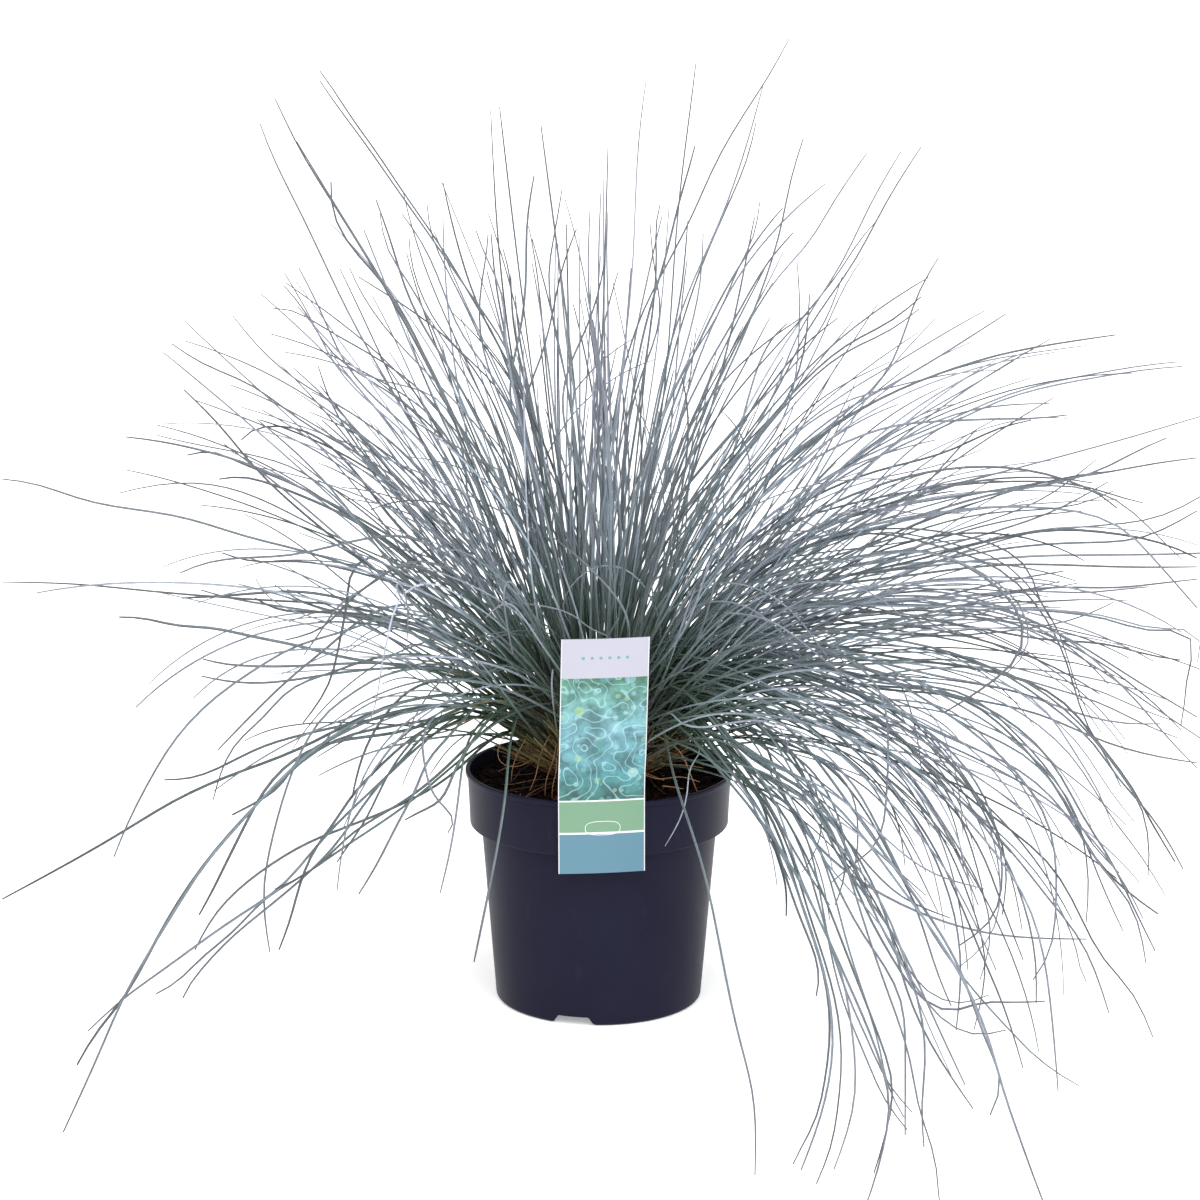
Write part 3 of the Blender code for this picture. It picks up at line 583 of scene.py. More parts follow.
def crosses_label(paths):
    """Which paths come through the label or pass in front of it."""
    beside_room, below, above, behind = LABEL_ROOM
    back = np.array(label_place().inverted())
    local = paths @ back[:3, :3].T + back[:3, 3]
    beside = np.abs(local[..., 0]) < LABEL_WIDTH / 2.0 + beside_room
    height = local[..., 2]
    inside = beside & (height > -below) & (height < LABEL_LENGTH + above)
    forward = np.maximum(height - LABEL_BEND, 0.0) * math.sin(math.radians(LABEL_LEAN))
    return (inside & (local[..., 1] < LABEL_FRONT - forward + behind)).any(1)


def crosses_pot(paths):
    """Which paths touch the pot's wall, or go into the soil outside the crown."""
    reach = np.hypot(paths[..., 0], paths[..., 1])
    height = paths[..., 2]
    outer = np.where(height > BAND_FOOT_HEIGHT, LIP_RADIUS, TUB_RADIUS) + POT_ROOM
    inner = BAND_RADIUS - WALL - RIM_ROOM
    in_wall = (height < POT_HEIGHT + RIM_ROOM) & (reach > inner) & (reach < outer)
    in_soil = (height < SOIL_TOP + SOIL_ROOM) & (reach <= inner) & (reach > HEART_REACH)
    return (in_wall | in_soil).any(1)


def under_fan(paths):
    """Which paths sink too near the soil before they are past the pot's lip. They may come
    lower on the side where the photograph shows leaves that lean over the lip."""
    reach = np.hypot(paths[..., 0], paths[..., 1])
    azimuth = np.degrees(np.arctan2(paths[..., 1], paths[..., 0]))
    low = (azimuth > LOW_SIDE[0]) & (azimuth < LOW_SIDE[1])
    rise = np.minimum(FAN_SLOPE * (reach - FAN_FOOT), np.where(low, LOW_RISE, FAN_RISE))
    edge = SOIL_TOP + FAN_LIFT + rise
    over_pot = (reach > FAN_FOOT) & (reach < LIP_RADIUS + FAN_PAST_LIP)
    return (over_pot & (paths[..., 2] < edge)).any(1)


def leaves_box(paths):
    """Which paths leave the frame's box by more than a soft piece may."""
    low, high = (np.array(corner) for corner in CAD_BOX)
    room = BOX_ROOM * (high - low)
    return ((paths < low - room) | (paths > high + room)).any((1, 2))


def allowed(paths):
    """Which paths keep clear of everything."""
    crossing = crosses_label(paths) | crosses_pot(paths) | under_fan(paths)
    lying = (paths[..., 2] < LYING_HEIGHT).sum(1) > MOST_LYING
    return ~(crossing | lying | leaves_box(paths))


# The leaves of each tuft

LEAF_KEYS = ("paths", "tone", "age", "width")

# Where leaves leave the crown: the depths, as shares of its radius, how far azimuths stray,
# in radians, with the share that strays widely, and the leans
START_DEPTHS = (0.45, 0.95)
WIDE_SHARE = 0.50
WIDE_STRAY = 1.7
CLOSE_STRAY = 0.6
START_LEANS = (0.45, 1.05)
LEAN_STRAY = 0.3
MOST_LEAN = 0.95
START_SINK = 0.002

# Waves: the gamma's shape and scale, the speeds, and the kinks of a few leaves
WAVE_SIZE = (2.0, 3.4)
WAVE_SPEEDS = (3.0, 9.0)
KINKED_SHARE = 0.03
KINKS = (18.0, 60.0)
KINK_PLACES = (0.35, 0.8)

# A tuft's leaves: more are drawn than kept. They come in shoots, and azimuths, base leans,
# tip leans and swings stray by shoot and by leaf.
DRAWN_TIMES = 4
DRAWN_SPARE = 40
SHOOTS = 9
MOST_BASE = 52
TUFT_START = 0.7
CLOSEST = 0.32
SHOOT_STRAY = {"azimuth": 8.0, "base": 5.5, "tip": 12.0}
LEAF_STRAY = {"azimuth": 10.0, "base": 8.5, "tip": 19.0, "swing": 27.0}
LATENESS_RANGE = (0.65, 1.5)
# Lengths: 1 less this part of a beta draw of this shape
SHORTENING = 0.72
SHORT_SHAPE = (1.4, 1.8)
# Short leaves may be dead.
DEAD_SHARE = 0.05
DEAD_LENGTH = 0.40
DEAD_AGE = 0.70
TUFT_TONES = (0.0, 0.92)
TUFT_WIDTHS = (0.85, 1.15)
# Tufts that end further back than this keep one leaf of their own full length.
FAR_BACK = 0.33

# Leaves drawn after the photograph: the pixel where they start from, how deep the first of
# their points is, how far they stray from their pixels near the crown, where that ends, and
# the angles of their hidden feet
FOOT_PIXEL = (600.0, 735.0)
FIRST_DEPTH = 0.010
INNER_STRAY = 13.0
STRAY_FADE = 1.4
FOOT_TURN = 0.35
FOOT_LEANS = (0.7, 1.0)
FOOT_REACH = 0.85
LIP_ROOM = 0.004
LIP_STRIDE = 0.002
# Their companions
MOST_COMPANIONS = 2
COMPANION_SHIFT = 26.0
COMPANION_DEPTH = 0.035
COMPANION_SHORTER = 3
COMPANION_TONES = (0.0, 0.8)
COMPANION_WIDTHS = (0.85, 1.2)
# The points on a smooth curve for each point that is kept
FINENESS = 12


def starts(chance, azimuth, lean):
    """Where leaves leave the crown, spread about their tuft's own ray."""
    number = len(azimuth)
    depth = CROWN_BALL_RADIUS * chance.uniform(*START_DEPTHS, number)
    wide = chance.uniform(0.0, 1.0, number) < WIDE_SHARE
    stray = np.where(wide, WIDE_STRAY, CLOSE_STRAY)
    turned_azimuth = azimuth + chance.normal(0.0, 1.0, number) * stray
    turned_lean = lean * chance.uniform(*START_LEANS, number)
    turned_lean = turned_lean + np.abs(chance.normal(0.0, LEAN_STRAY, number))
    turned_lean = np.minimum(turned_lean, MOST_LEAN)
    place = np.array(CROWN_CENTRE) + directions(turned_azimuth, turned_lean) * depth[:, None]
    place[:, 2] = np.maximum(place[:, 2], SOIL_TOP - START_SINK)
    return place


def waves(chance, number):
    """Small sideways waves that keep the leaves from being perfect arcs, and a few kinks."""
    size = np.radians(chance.gamma(*WAVE_SIZE, number))
    speed = chance.uniform(*WAVE_SPEEDS, number)
    phase = chance.uniform(0.0, math.tau, number)
    kinked = chance.uniform(0.0, 1.0, number) < KINKED_SHARE
    kink = np.radians(chance.uniform(*KINKS, number)) * kinked
    return size, speed, phase, kink, chance.uniform(*KINK_PLACES, number)


def tuft_end(ring_row, row):
    """Where a tuft's own path ends."""
    base, lateness = ring_row
    azimuth, swing, tip, length = row
    angles = [np.radians([float(value)]) for value in (azimuth, swing, base, tip)]
    start = from_crown(angles[0], angles[2], CROWN_BALL_RADIUS)
    return grow(start, *angles, np.array([lateness]), np.array([length]))[0, -1]


def tuft_leaves(name, ring_row, row, number):
    """Leaves of one tuft. They come in shoots, whose leaves stay close together."""
    target = tuft_end(ring_row, row)
    base, lateness = min(ring_row[0], MOST_BASE), ring_row[1]
    azimuth, swing, tip, length = row
    reach = TUFT_START * CROWN_BALL_RADIUS
    start = from_crown(*np.radians([[azimuth], [base]]), reach)
    bent = to_reach(
        start, target[None], np.radians([swing]), np.radians([base]), np.array([lateness])
    )
    azimuth, tip, length = np.degrees(bent[0][0]), np.degrees(bent[1][0]), bent[2][0]
    chance = seeded(name)
    drawn = DRAWN_TIMES * number + DRAWN_SPARE
    shoot = chance.randint(0, SHOOTS, drawn)
    spread = 1.0 / max(math.sin(math.radians(base)), CLOSEST)
    shoot_azimuth = chance.normal(0.0, SHOOT_STRAY["azimuth"], SHOOTS) * spread
    shoot_base = chance.normal(0.0, SHOOT_STRAY["base"], SHOOTS)
    shoot_tip = chance.normal(0.0, SHOOT_STRAY["tip"], SHOOTS)
    turn = azimuth + shoot_azimuth[shoot]
    turn = turn + chance.normal(0.0, LEAF_STRAY["azimuth"], drawn) * spread
    lean = base + shoot_base[shoot] + chance.normal(0.0, LEAF_STRAY["base"], drawn)
    late = lateness * chance.uniform(*LATENESS_RANGE, drawn)
    share = 1.0 - chance.beta(*SHORT_SHAPE, drawn) * SHORTENING
    end = tip + shoot_tip[shoot] + chance.normal(0.0, LEAF_STRAY["tip"], drawn)
    round_by = swing + chance.normal(0.0, LEAF_STRAY["swing"], drawn)
    if target[1] > FAR_BACK:
        turn[0], lean[0], end[0], round_by[0] = azimuth, base, tip, swing
        late[0], share[0] = lateness, 1.0
    end = lean + (end - lean) * share**late
    turn, lean, end = np.radians(turn), np.radians(np.abs(lean)), np.radians(end)
    round_by = np.radians(round_by)
    place = starts(chance, turn, lean)
    paths = grow(place, turn, round_by, lean, end, late, length * share, waves(chance, drawn))
    kept = allowed(paths)
    tone = chance.uniform(*TUFT_TONES, drawn)
    dead = (chance.uniform(0.0, 1.0, drawn) < DEAD_SHARE) & (share < DEAD_LENGTH)
    fresh = {
        "paths": paths,
        "tone": tone,
        "age": np.where(dead, DEAD_AGE, 0.0),
        "width": chance.uniform(*TUFT_WIDTHS, drawn),
    }
    return {key: fresh[key][kept][:number] for key in LEAF_KEYS}


def through(points, number):
    """Evenly spaced points along the smooth curve, a natural cubic spline, through points."""
    points = np.array(points)
    gaps = np.linalg.norm(np.diff(points, axis=0), axis=1)
    place = np.concatenate([[0.0], np.cumsum(gaps)])
    matrix, wanted = np.eye(len(points)), np.zeros_like(points)
    for index in range(1, len(points) - 1):
        before, after = gaps[index - 1], gaps[index]
        matrix[index, index - 1 : index + 2] = before, 2.0 * (before + after), after
        rise = (points[index + 1] - points[index]) / after
        wanted[index] = 6.0 * (rise - (points[index] - points[index - 1]) / before)
    bend = np.linalg.solve(matrix, wanted)
    fine = np.linspace(0.0, place[-1], FINENESS * number)
    left = np.clip(np.searchsorted(place, fine, side="right") - 1, 0, len(gaps) - 1)
    gap = gaps[left][:, None]
    far = (fine - place[left])[:, None]
    near = gap - far
    curve = (bend[left] * near**3 + bend[left + 1] * far**3) / (6.0 * gap)
    curve += (points[left] / gap - bend[left] * gap / 6.0) * near
    curve += (points[left + 1] / gap - bend[left + 1] * gap / 6.0) * far
    run_to = np.concatenate([[0.0], np.cumsum(np.linalg.norm(np.diff(curve, axis=0), axis=1))])
    even = np.linspace(0.0, run_to[-1], number + 1)
    return np.stack([np.interp(even, run_to, curve[:, axis]) for axis in range(3)], -1)


def clear_of_lip(point):
    """The point, or the nearest one to it towards the camera that is in front of the lip."""
    way = (CAMERA_PLACE - point).normalized()
    beyond = LIP_RADIUS + LIP_ROOM
    while point.z < POT_HEIGHT + LIP_ROOM and math.hypot(point.x, point.y) < beyond:
        point = point + LIP_STRIDE * way
    return point


def drawn_leaf(depth, pixels, chance):
    """The path of a leaf through pixels, from the crown to a tip at Y = depth."""
    floor_depth = seen_at(pixels[-1], depth).y
    start_depth = -FIRST_DEPTH if depth < 0.0 else FIRST_DEPTH
    ends = np.array([FOOT_PIXEL, *pixels])
    share = np.cumsum(np.linalg.norm(np.diff(ends, axis=0), axis=1))
    share /= share[-1]
    points = []
    stray = chance.normal(0.0, INNER_STRAY, 2)
    for (x, y), part in zip(pixels, share):
        part_depth = start_depth + (min(depth, floor_depth) - start_depth) * part
        off = max(1.0 - STRAY_FADE * part, 0.0)
        pixel = (x + off * stray[0], y + off * stray[1])
        points.append(clear_of_lip(seen_at(pixel, part_depth)))
    offset = points[0] - CROWN_CENTRE
    azimuth = math.atan2(offset.y, offset.x) + chance.normal(0.0, FOOT_TURN)
    lean = math.atan2(math.hypot(offset.x, offset.y), offset.z)
    lean = min(lean, math.radians(MOST_BASE)) * chance.uniform(*FOOT_LEANS)
    start = from_crown(azimuth, lean, CROWN_BALL_RADIUS * FOOT_REACH)
    return through([start, *points], STEPS)


def shown_leaves():
    """The leaves drawn after the photograph, and some like them beside a few of them."""
    fresh = {key: [] for key in LEAF_KEYS}

    def add(chance, path, tones, widths, age=0.0):
        """Adds one leaf, with a tone and a width from the ranges given."""
        values = (path, chance.uniform(*tones), age, chance.uniform(*widths))
        for key, value in zip(LEAF_KEYS, values):
            fresh[key].append(value)

    for group, (rows, companions, spread, tones, widths, age) in DRAWN_LEAVES.items():
        chance = seeded("drawn_" + group)
        for depth, *values in rows:
            pixels = pairs(values)
            depth += chance.normal(0.0, 1.0) * spread
            add(chance, drawn_leaf(depth, pixels, chance), tones, widths, age)
            for _ in range(chance.binomial(MOST_COMPANIONS, companions)):
                number = len(pixels)
                kept = max(2, number - chance.randint(0, COMPANION_SHORTER))
                shift = chance.normal(0.0, 1.0, 2) * COMPANION_SHIFT
                grown = (np.arange(kept) + 1.0) / number
                moved = [
                    (x + shift[0] * part, y + shift[1] * part)
                    for (x, y), part in zip(pixels[:kept], grown)
                ]
                beside = depth + chance.normal(0.0, COMPANION_DEPTH)
                path = drawn_leaf(beside, moved, chance)
                add(chance, path, COMPANION_TONES, COMPANION_WIDTHS)
    fresh = {key: np.array(values) for key, values in fresh.items()}
    paths = fresh["paths"]
    kept = ~(crosses_label(paths) | crosses_pot(paths) | leaves_box(paths))
    return {key: fresh[key][kept] for key in LEAF_KEYS}


# Meshes

LEAF_SECTION = ((-1.0, 0.46), (0.0, -0.88), (1.0, 0.46), (0.0, 0.20))
LEAF_HALF_WIDTH = 0.00073
THREAD_SECTION = ((-1.0, 0.0), (0.0, -1.0), (1.0, 0.0), (0.0, 1.0))
LEAF_ROLL = 0.9
# A leaf's width: at its foot, how fast it widens, and what its last part and its tip lose
FOOT_WIDTH_SHARE = 0.62
WIDENING = 1.6
NARROWING = ((0.22, 3), (0.30, 16))
# The flat map: the part of a tube's place that its walls fill, the space beside its corners,
# and the rows of its two closed ends
MAP_MARGIN = 0.01
MAP_WALLS = 0.98
MAP_BESIDE = 0.1
MAP_SPOTS = (0.2, 0.8)
MAP_ENDS = ((0.002, 0.006), (0.994, 0.998))
TINY = 1e-9


def placed(name, data):
    """A new object in the scene."""
    made = bpy.data.objects.new(name, data)
    bpy.context.scene.collection.objects.link(made)
    return made


def unit(vectors):
    """The vectors at length 1."""
    return vectors / np.maximum(np.linalg.norm(vectors, axis=2, keepdims=True), TINY)


def strips(paths, half_widths, rolls, section):
    """Vertices of closed tubes with a section round each path: (tube, step, corner, xyz)."""
    along = unit(np.gradient(paths, axis=1))
    end = paths[:, -1] - paths[:, 0]
    azimuth = np.arctan2(end[:, 1], end[:, 0])
    side = np.stack([-np.sin(azimuth), np.cos(azimuth), np.zeros(len(azimuth))], -1)
    side = side[:, None, :] - along * (side[:, None, :] * along).sum(2, keepdims=True)
    side = unit(side)
    up = np.cross(along, side)
    across = np.cos(rolls)[..., None] * side + np.sin(rolls)[..., None] * up
    over = np.cross(along, across)
    size = half_widths[..., None]
    corners = [paths + size * (x * across + z * over) for x, z in section]
    return np.stack(corners, 2)


def strip_faces(tubes, rings, sides):
    """Faces of the tubes that strips() gives, with their ends closed."""
    tube = np.arange(tubes)[:, None, None] * rings * sides
    ring = np.arange(rings - 1)[None, :, None] * sides
    corner = np.arange(sides)[None, None, :]
    after = (corner + 1) % sides
    low, high = tube + ring, tube + ring + sides
    walls = np.stack([low + corner, low + after, high + after, high + corner], -1)
    first = np.arange(tubes)[:, None] * rings * sides
    foot = first + np.arange(sides)[::-1]
    tip = first + (rings - 1) * sides + np.arange(sides)
    return walls.reshape(-1, 4).tolist() + foot.tolist() + tip.tolist()


def strip_map(tubes, rings, sides):
    """A flat place for each face corner: tubes side by side, feet at the bottom."""
    corner = np.arange(sides)
    whole = sides + 2.0 * MAP_BESIDE
    left, right = (corner + MAP_BESIDE) / whole, (corner + 1.0 + MAP_BESIDE) / whole
    u = np.stack([left, right, right, left], -1)
    low = np.arange(rings - 1) / (rings - 1.0) * MAP_WALLS + MAP_MARGIN
    high = low + MAP_WALLS / (rings - 1.0)
    v = np.stack([low, low, high, high], -1)
    walls = np.zeros((tubes, rings - 1, sides, 4, 2))
    walls[..., 0] = (np.arange(tubes)[:, None, None, None] + u[None, None]) / tubes
    walls[..., 1] = v[None, :, None, :]
    ends = np.zeros((2, tubes, sides, 2))
    spots = np.linspace(*MAP_SPOTS, sides)
    ends[..., 0] = (np.arange(tubes)[None, :, None] + spots) / tubes
    for end, levels in zip(ends, MAP_ENDS):
        end[..., 1] = np.array(levels * (sides // 2))
    return np.concatenate([walls.reshape(-1, 2), ends.reshape(-1, 2)])


def strip_object(name, leaves, material, half_width=LEAF_HALF_WIDTH, section=LEAF_SECTION):
    """One joined, smooth mesh of leaves that rides on the body, with values at its vertices."""
    paths = leaves["paths"]
    tubes, rings = paths.shape[:2]
    chance = seeded(name + "_roll")
    share = np.linspace(0.0, 1.0, rings)[None, :]
    taper = np.minimum(FOOT_WIDTH_SHARE + WIDENING * share, 1.0)
    (late_loss, late), (tip_loss, tip) = NARROWING
    taper = taper * (1.0 - late_loss * share**late - tip_loss * share**tip)
    widths = half_width * leaves["width"][:, None] * taper
    roll = chance.normal(0.0, LEAF_ROLL, (tubes, 1))
    roll = roll + chance.normal(0.0, LEAF_ROLL, (tubes, 1)) * share
    verts = strips(paths, widths, roll, section)
    verts[..., 2] = np.maximum(verts[..., 2], 0.0)
    sides = len(section)
    every = np.ones((tubes, rings, sides))
    gaps = np.linalg.norm(np.diff(paths, axis=1), axis=2)
    reach = np.concatenate([np.zeros((tubes, 1)), np.cumsum(gaps, axis=1)], 1)
    attributes = {
        "along": every * share[..., None],
        "reach": every * reach[..., None],
        "tone": every * leaves["tone"][:, None, None],
        "age": every * leaves["age"][:, None, None],
        "across": every * np.array([x for x, _ in section]),
    }
    mesh = bpy.data.meshes.new(name)
    mesh.from_pydata(verts.reshape(-1, 3).tolist(), [], strip_faces(tubes, rings, sides))
    mesh.shade_smooth()
    for key, values in attributes.items():
        layer = mesh.attributes.new(key, "FLOAT", "POINT")
        layer.data.foreach_set("value", values.astype(np.float32).ravel())
    layer = mesh.uv_layers.new(name="OFBake")
    flat = strip_map(tubes, rings, sides)
    layer.uv.foreach_set("vector", flat.astype(np.float32).ravel())
    mesh.materials.append(material)
    made = placed(name, mesh)
    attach(made, "root")
    return made


# Materials


def wire(tree, kind, inputs=None, **settings):
    """Adds a node. inputs gives a value, or another node's output, for a socket."""
    made = tree.nodes.new("ShaderNode" + kind)
    for key, value in settings.items():
        setattr(made, key, value)
    for socket, value in (inputs or {}).items():
        if isinstance(value, bpy.types.NodeSocket):
            tree.links.new(value, made.inputs[socket])
        else:
            made.inputs[socket].default_value = value
    return made


def ramp(tree, factor, *stops, interpolation="LINEAR"):
    """A colour ramp through stops, each a position and then a grey or a colour."""
    made = wire(tree, "ValToRGB", {"Fac": factor})
    made.color_ramp.interpolation = interpolation
    elements = made.color_ramp.elements
    while len(elements) < len(stops):
        elements.new(1.0)
    for element, (position, *colour) in zip(elements, stops):
        element.position = position
        element.color = (*(colour if len(colour) == 3 else colour * 3), 1.0)
    return made.outputs["Color"]


def mix(tree, factor, first, second, blend="MIX"):
    """Mixes two colours, each a tuple or a socket."""
    made = wire(tree, "Mix", data_type="RGBA", blend_type=blend)
    for index, value in ((0, factor), (6, first), (7, second)):
        if isinstance(value, bpy.types.NodeSocket):
            tree.links.new(value, made.inputs[index])
        else:
            made.inputs[index].default_value = (*value, 1.0) if index else value
    return made.outputs[2]


def times(tree, first, second):
    """One colour multiplied by another."""
    return mix(tree, 1.0, first, second, "MULTIPLY")


def math_node(tree, operation, *values):
    """A Math node on numbers and sockets."""
    return wire(tree, "Math", dict(enumerate(values)), operation=operation).outputs[0]


def attribute(tree, name):
    """A value that a mesh holds at its vertices."""
    return wire(tree, "Attribute", attribute_name=name).outputs["Fac"]


def noise_node(tree, vector, scale, detail=4.0, roughness=0.6):
    """Cloudy noise, from 0 to 1."""
    inputs = {"Scale": scale, "Detail": detail, "Roughness": roughness, "Vector": vector}
    return wire(tree, "TexNoise", inputs).outputs["Fac"]


def place_node(tree, scale=(1.0, 1.0, 1.0)):
    """Object coordinates, which are the frame's own, stretched."""
    place = wire(tree, "TexCoord").outputs["Object"]
    return wire(tree, "Mapping", {"Vector": place, "Scale": scale}).outputs["Vector"]


def bump(tree, height, strength, distance):
    """A normal from a height."""
    inputs = {"Height": height, "Strength": strength, "Distance": distance}
    return wire(tree, "Bump", inputs).outputs["Normal"]


def ribs(tree, number, strength, distance):
    """Fine ribs along a leaf, as a normal."""
    turn = math_node(tree, "MULTIPLY", attribute(tree, "across"), number)
    return bump(tree, math_node(tree, "SINE", turn), strength, distance)


def new_material(name, **values):
    """A Principled material, its tree and its shader, with plain values on the sockets."""
    made = bpy.data.materials.new(name)
    made.use_nodes = True
    shader = made.node_tree.nodes["Principled BSDF"]
    for key, value in values.items():
        shader.inputs[key.replace("_", " ")].default_value = value
    return made, made.node_tree, shader


def connect(tree, shader, **sockets):
    """Links nodes' outputs to the shader's inputs."""
    for key, value in sockets.items():
        tree.links.new(value, shader.inputs[key.replace("_", " ")])


# The length, from its foot, over which a leaf turns from straw and green to blue-grey. The
# green is darkened on the way as painted shade deep in the clump.
GREEN_REACH = 0.15


def leaf_material():
    """Blue-grey leaves with a waxy bloom, green near the crown and straw at the foot. The green
    deep in the clump is darkened as painted shade.
    """
    made, tree, shader = new_material(
        "fescue_leaf",
        Roughness=0.46,
        Sheen_Weight=0.25,
        Sheen_Tint=(0.80, 0.87, 1.0, 1.0),
        Sheen_Roughness=0.45,
    )
    along = attribute(tree, "along")
    tone = attribute(tree, "tone")
    reach = math_node(tree, "DIVIDE", attribute(tree, "reach"), GREEN_REACH)
    # The leaves' own straw and green. The stops at 0.42 and 0.64 are darkened as painted shade
    # deep in the clump.
    low = ramp(
        tree, reach,
        (0.00, 0.150, 0.068, 0.028), (0.16, 0.245, 0.138, 0.052), (0.30, 0.102, 0.082, 0.028),
        (0.42, 0.026, 0.044, 0.019), (0.64, 0.045, 0.082, 0.054), (1.00, 0.108, 0.158, 0.152),
    )
    high = ramp(
        tree, along,
        (0.15, 0.098, 0.148, 0.142), (0.50, 0.192, 0.234, 0.262),
        (0.78, 0.192, 0.209, 0.248), (1.00, 0.112, 0.112, 0.130),
    )
    upper = ramp(tree, reach, (0.60, 0.0), (1.0, 1.0))
    bright = ((0.84, 1.50, 1.49, 1.55), (1.00, 2.60, 2.54, 2.62))
    green = ramp(
        tree, tone,
        (0.00, 0.34, 0.50, 0.30), (0.30, 0.66, 0.80, 0.64), (0.58, 1.04, 1.06, 1.05), *bright,
    )
    grey = ramp(
        tree, tone,
        (0.00, 0.32, 0.36, 0.32), (0.28, 0.63, 0.68, 0.66), (0.58, 1.07, 1.09, 1.12), *bright,
    )
    colour = times(tree, mix(tree, upper, low, high), mix(tree, upper, green, grey))
    streak = noise_node(tree, place_node(tree, (60.0, 60.0, 20.0)), 3.0)
    mottle = ramp(tree, streak, (0.30, 0.72, 0.76, 0.74), (0.70, 1.22, 1.20, 1.22))
    colour = times(tree, colour, mottle)
    dead = ramp(
        tree, along,
        (0.0, 0.22, 0.13, 0.06), (0.5, 0.25, 0.18, 0.08), (1.0, 0.31, 0.235, 0.12),
    )
    tipward = ramp(tree, along, (0.30, 0.35), (0.75, 1.0))
    aged = math_node(tree, "MULTIPLY", attribute(tree, "age"), tipward)
    colour = mix(tree, aged, colour, dead)
    connect(tree, shader, Base_Color=colour, Normal=ribs(tree, 12.0, 0.25, 0.00008))
    return made


def add_leaves():
    """Builds the leaves of every tuft in place of its solid."""
    material = leaf_material()
    made, ends = {}, {}
    for ring, (base, lateness, rows) in RINGS.items():
        for index, (*row, number) in enumerate(rows, start=1):
            name = f"{ring}_{index:02d}"
            made[name] = tuft_leaves(name, (base, lateness), row, number)
            ends[name] = tuft_end((base, lateness), row)
    shown = shown_leaves()
    places = np.array(list(ends.values()))
    tips = shown["paths"][:, -1]
    nearest = np.linalg.norm(tips[:, None] - places[None], axis=2).argmin(1)
    for index, name in enumerate(ends):
        mine = nearest == index
        leaves = {key: np.concatenate([made[name][key], shown[key][mine]]) for key in LEAF_KEYS}
        piece = strip_object("leaves_" + name, leaves, material)
        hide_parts("tuft_" + name)


# Pot

MERGE_DISTANCE = 1e-6
POT_TURNS = 180
POT_SMOOTH = 32.0
FOOT_CURVE = 0.0030
LIP_CURVE = 0.0008
FOOT_WIDTH = 0.0042
FOOT_INSET = 0.0010
FLOOR_LIFT = 0.0062
FLOOR_THICKNESS = 0.0018
FLOOR_TOP = FLOOR_LIFT + FLOOR_THICKNESS
PAD_RADIUS = 0.014
# The curves under the band: below the lip, at the band's foot and where the tub starts
UNDER_LIP = 0.0004
BAND_EDGE = 0.0010
BAND_EDGE_INSET = 0.0009
BAND_EDGE_TOP = 0.0022
STEP_CURVE = 0.0008
STEP_CLEAR = 0.0012
NOTCHES = 3
NOTCH_AZIMUTH = -104.0
NOTCH_WIDTH = 0.0285
NOTCH_TOP_WIDTH = 0.0195
NOTCH_HEIGHT = 0.0058
NOTCH_REACH = 2.5 * FOOT_WIDTH
NOTCH_CORNER = 0.0016
NOTCH_FLARE = 0.0012
NOTCH_SPREAD = 0.004
DRAINS = 6
DRAIN_RADIUS = 0.0045
DRAIN_CIRCLE = 0.046
DRAIN_SIDES = 28


def tub_radius(height):
    """The tub's outer radius at a height."""
    return FOOT_RADIUS + (TUB_RADIUS - FOOT_RADIUS) * height / BAND_FOOT_HEIGHT


def band_radius(height):
    """The band's outer radius at a height."""
    share = (height - BAND_FOOT_HEIGHT) / (POT_HEIGHT - LIP_HEIGHT - BAND_FOOT_HEIGHT)
    return BAND_FOOT_RADIUS + (BAND_RADIUS - BAND_FOOT_RADIUS) * share


def quarter(centre, radius, first, last, steps):
    """Points of an arc round a centre, from one angle to another."""
    angles = [math.radians(first + (last - first) * step / steps) for step in range(steps + 1)]
    x, y = centre
    return [(x + radius * math.cos(angle), y + radius * math.sin(angle)) for angle in angles]


def run(start, end, steps):
    """Evenly spaced points from start up to, but not including, end."""
    return [
        tuple(a + (b - a) * step / steps for a, b in zip(start, end)) for step in range(steps)
    ]


def turned(profile, turns):
    """A bmesh made by turning a profile of (radius, height) points about the Z axis."""
    bm = bmesh.new()
    points = [bm.verts.new((radius, 0.0, height)) for radius, height in profile]
    edges = [bm.edges.new(pair) for pair in zip(points, points[1:])]
    bmesh.ops.spin(
        bm,
        geom=points + edges,
        cent=(0.0, 0.0, 0.0),
        axis=(0.0, 0.0, 1.0),
        angle=math.tau,
        steps=turns,
        use_merge=True,
    )
    bmesh.ops.remove_doubles(bm, verts=bm.verts[:], dist=MERGE_DISTANCE)
    bmesh.ops.recalc_face_normals(bm, faces=bm.faces[:])
    return bm


def bridge(bm, near, far, outward=True):
    """Faces between two closed rows of vertices."""
    for a, b, c, d in zip(near, near[1:] + near[:1], far[1:] + far[:1], far):
        bm.faces.new((a, b, c, d) if outward else (a, d, c, b))


def bar(bm, near, far):
    """A closed bar between two outlines of points."""
    near, far = ([bm.verts.new(point) for point in outline] for outline in (near, far))
    bm.faces.new(near)
    bm.faces.new(far[::-1])
    bridge(bm, near, far, outward=False)


def temporary(bm, name):
    """An object made of a bmesh, which is freed."""
    mesh = bpy.data.meshes.new(name)
    bmesh.ops.recalc_face_normals(bm, faces=bm.faces[:])
    bm.to_mesh(mesh)
    bm.free()
    return placed(name, mesh)


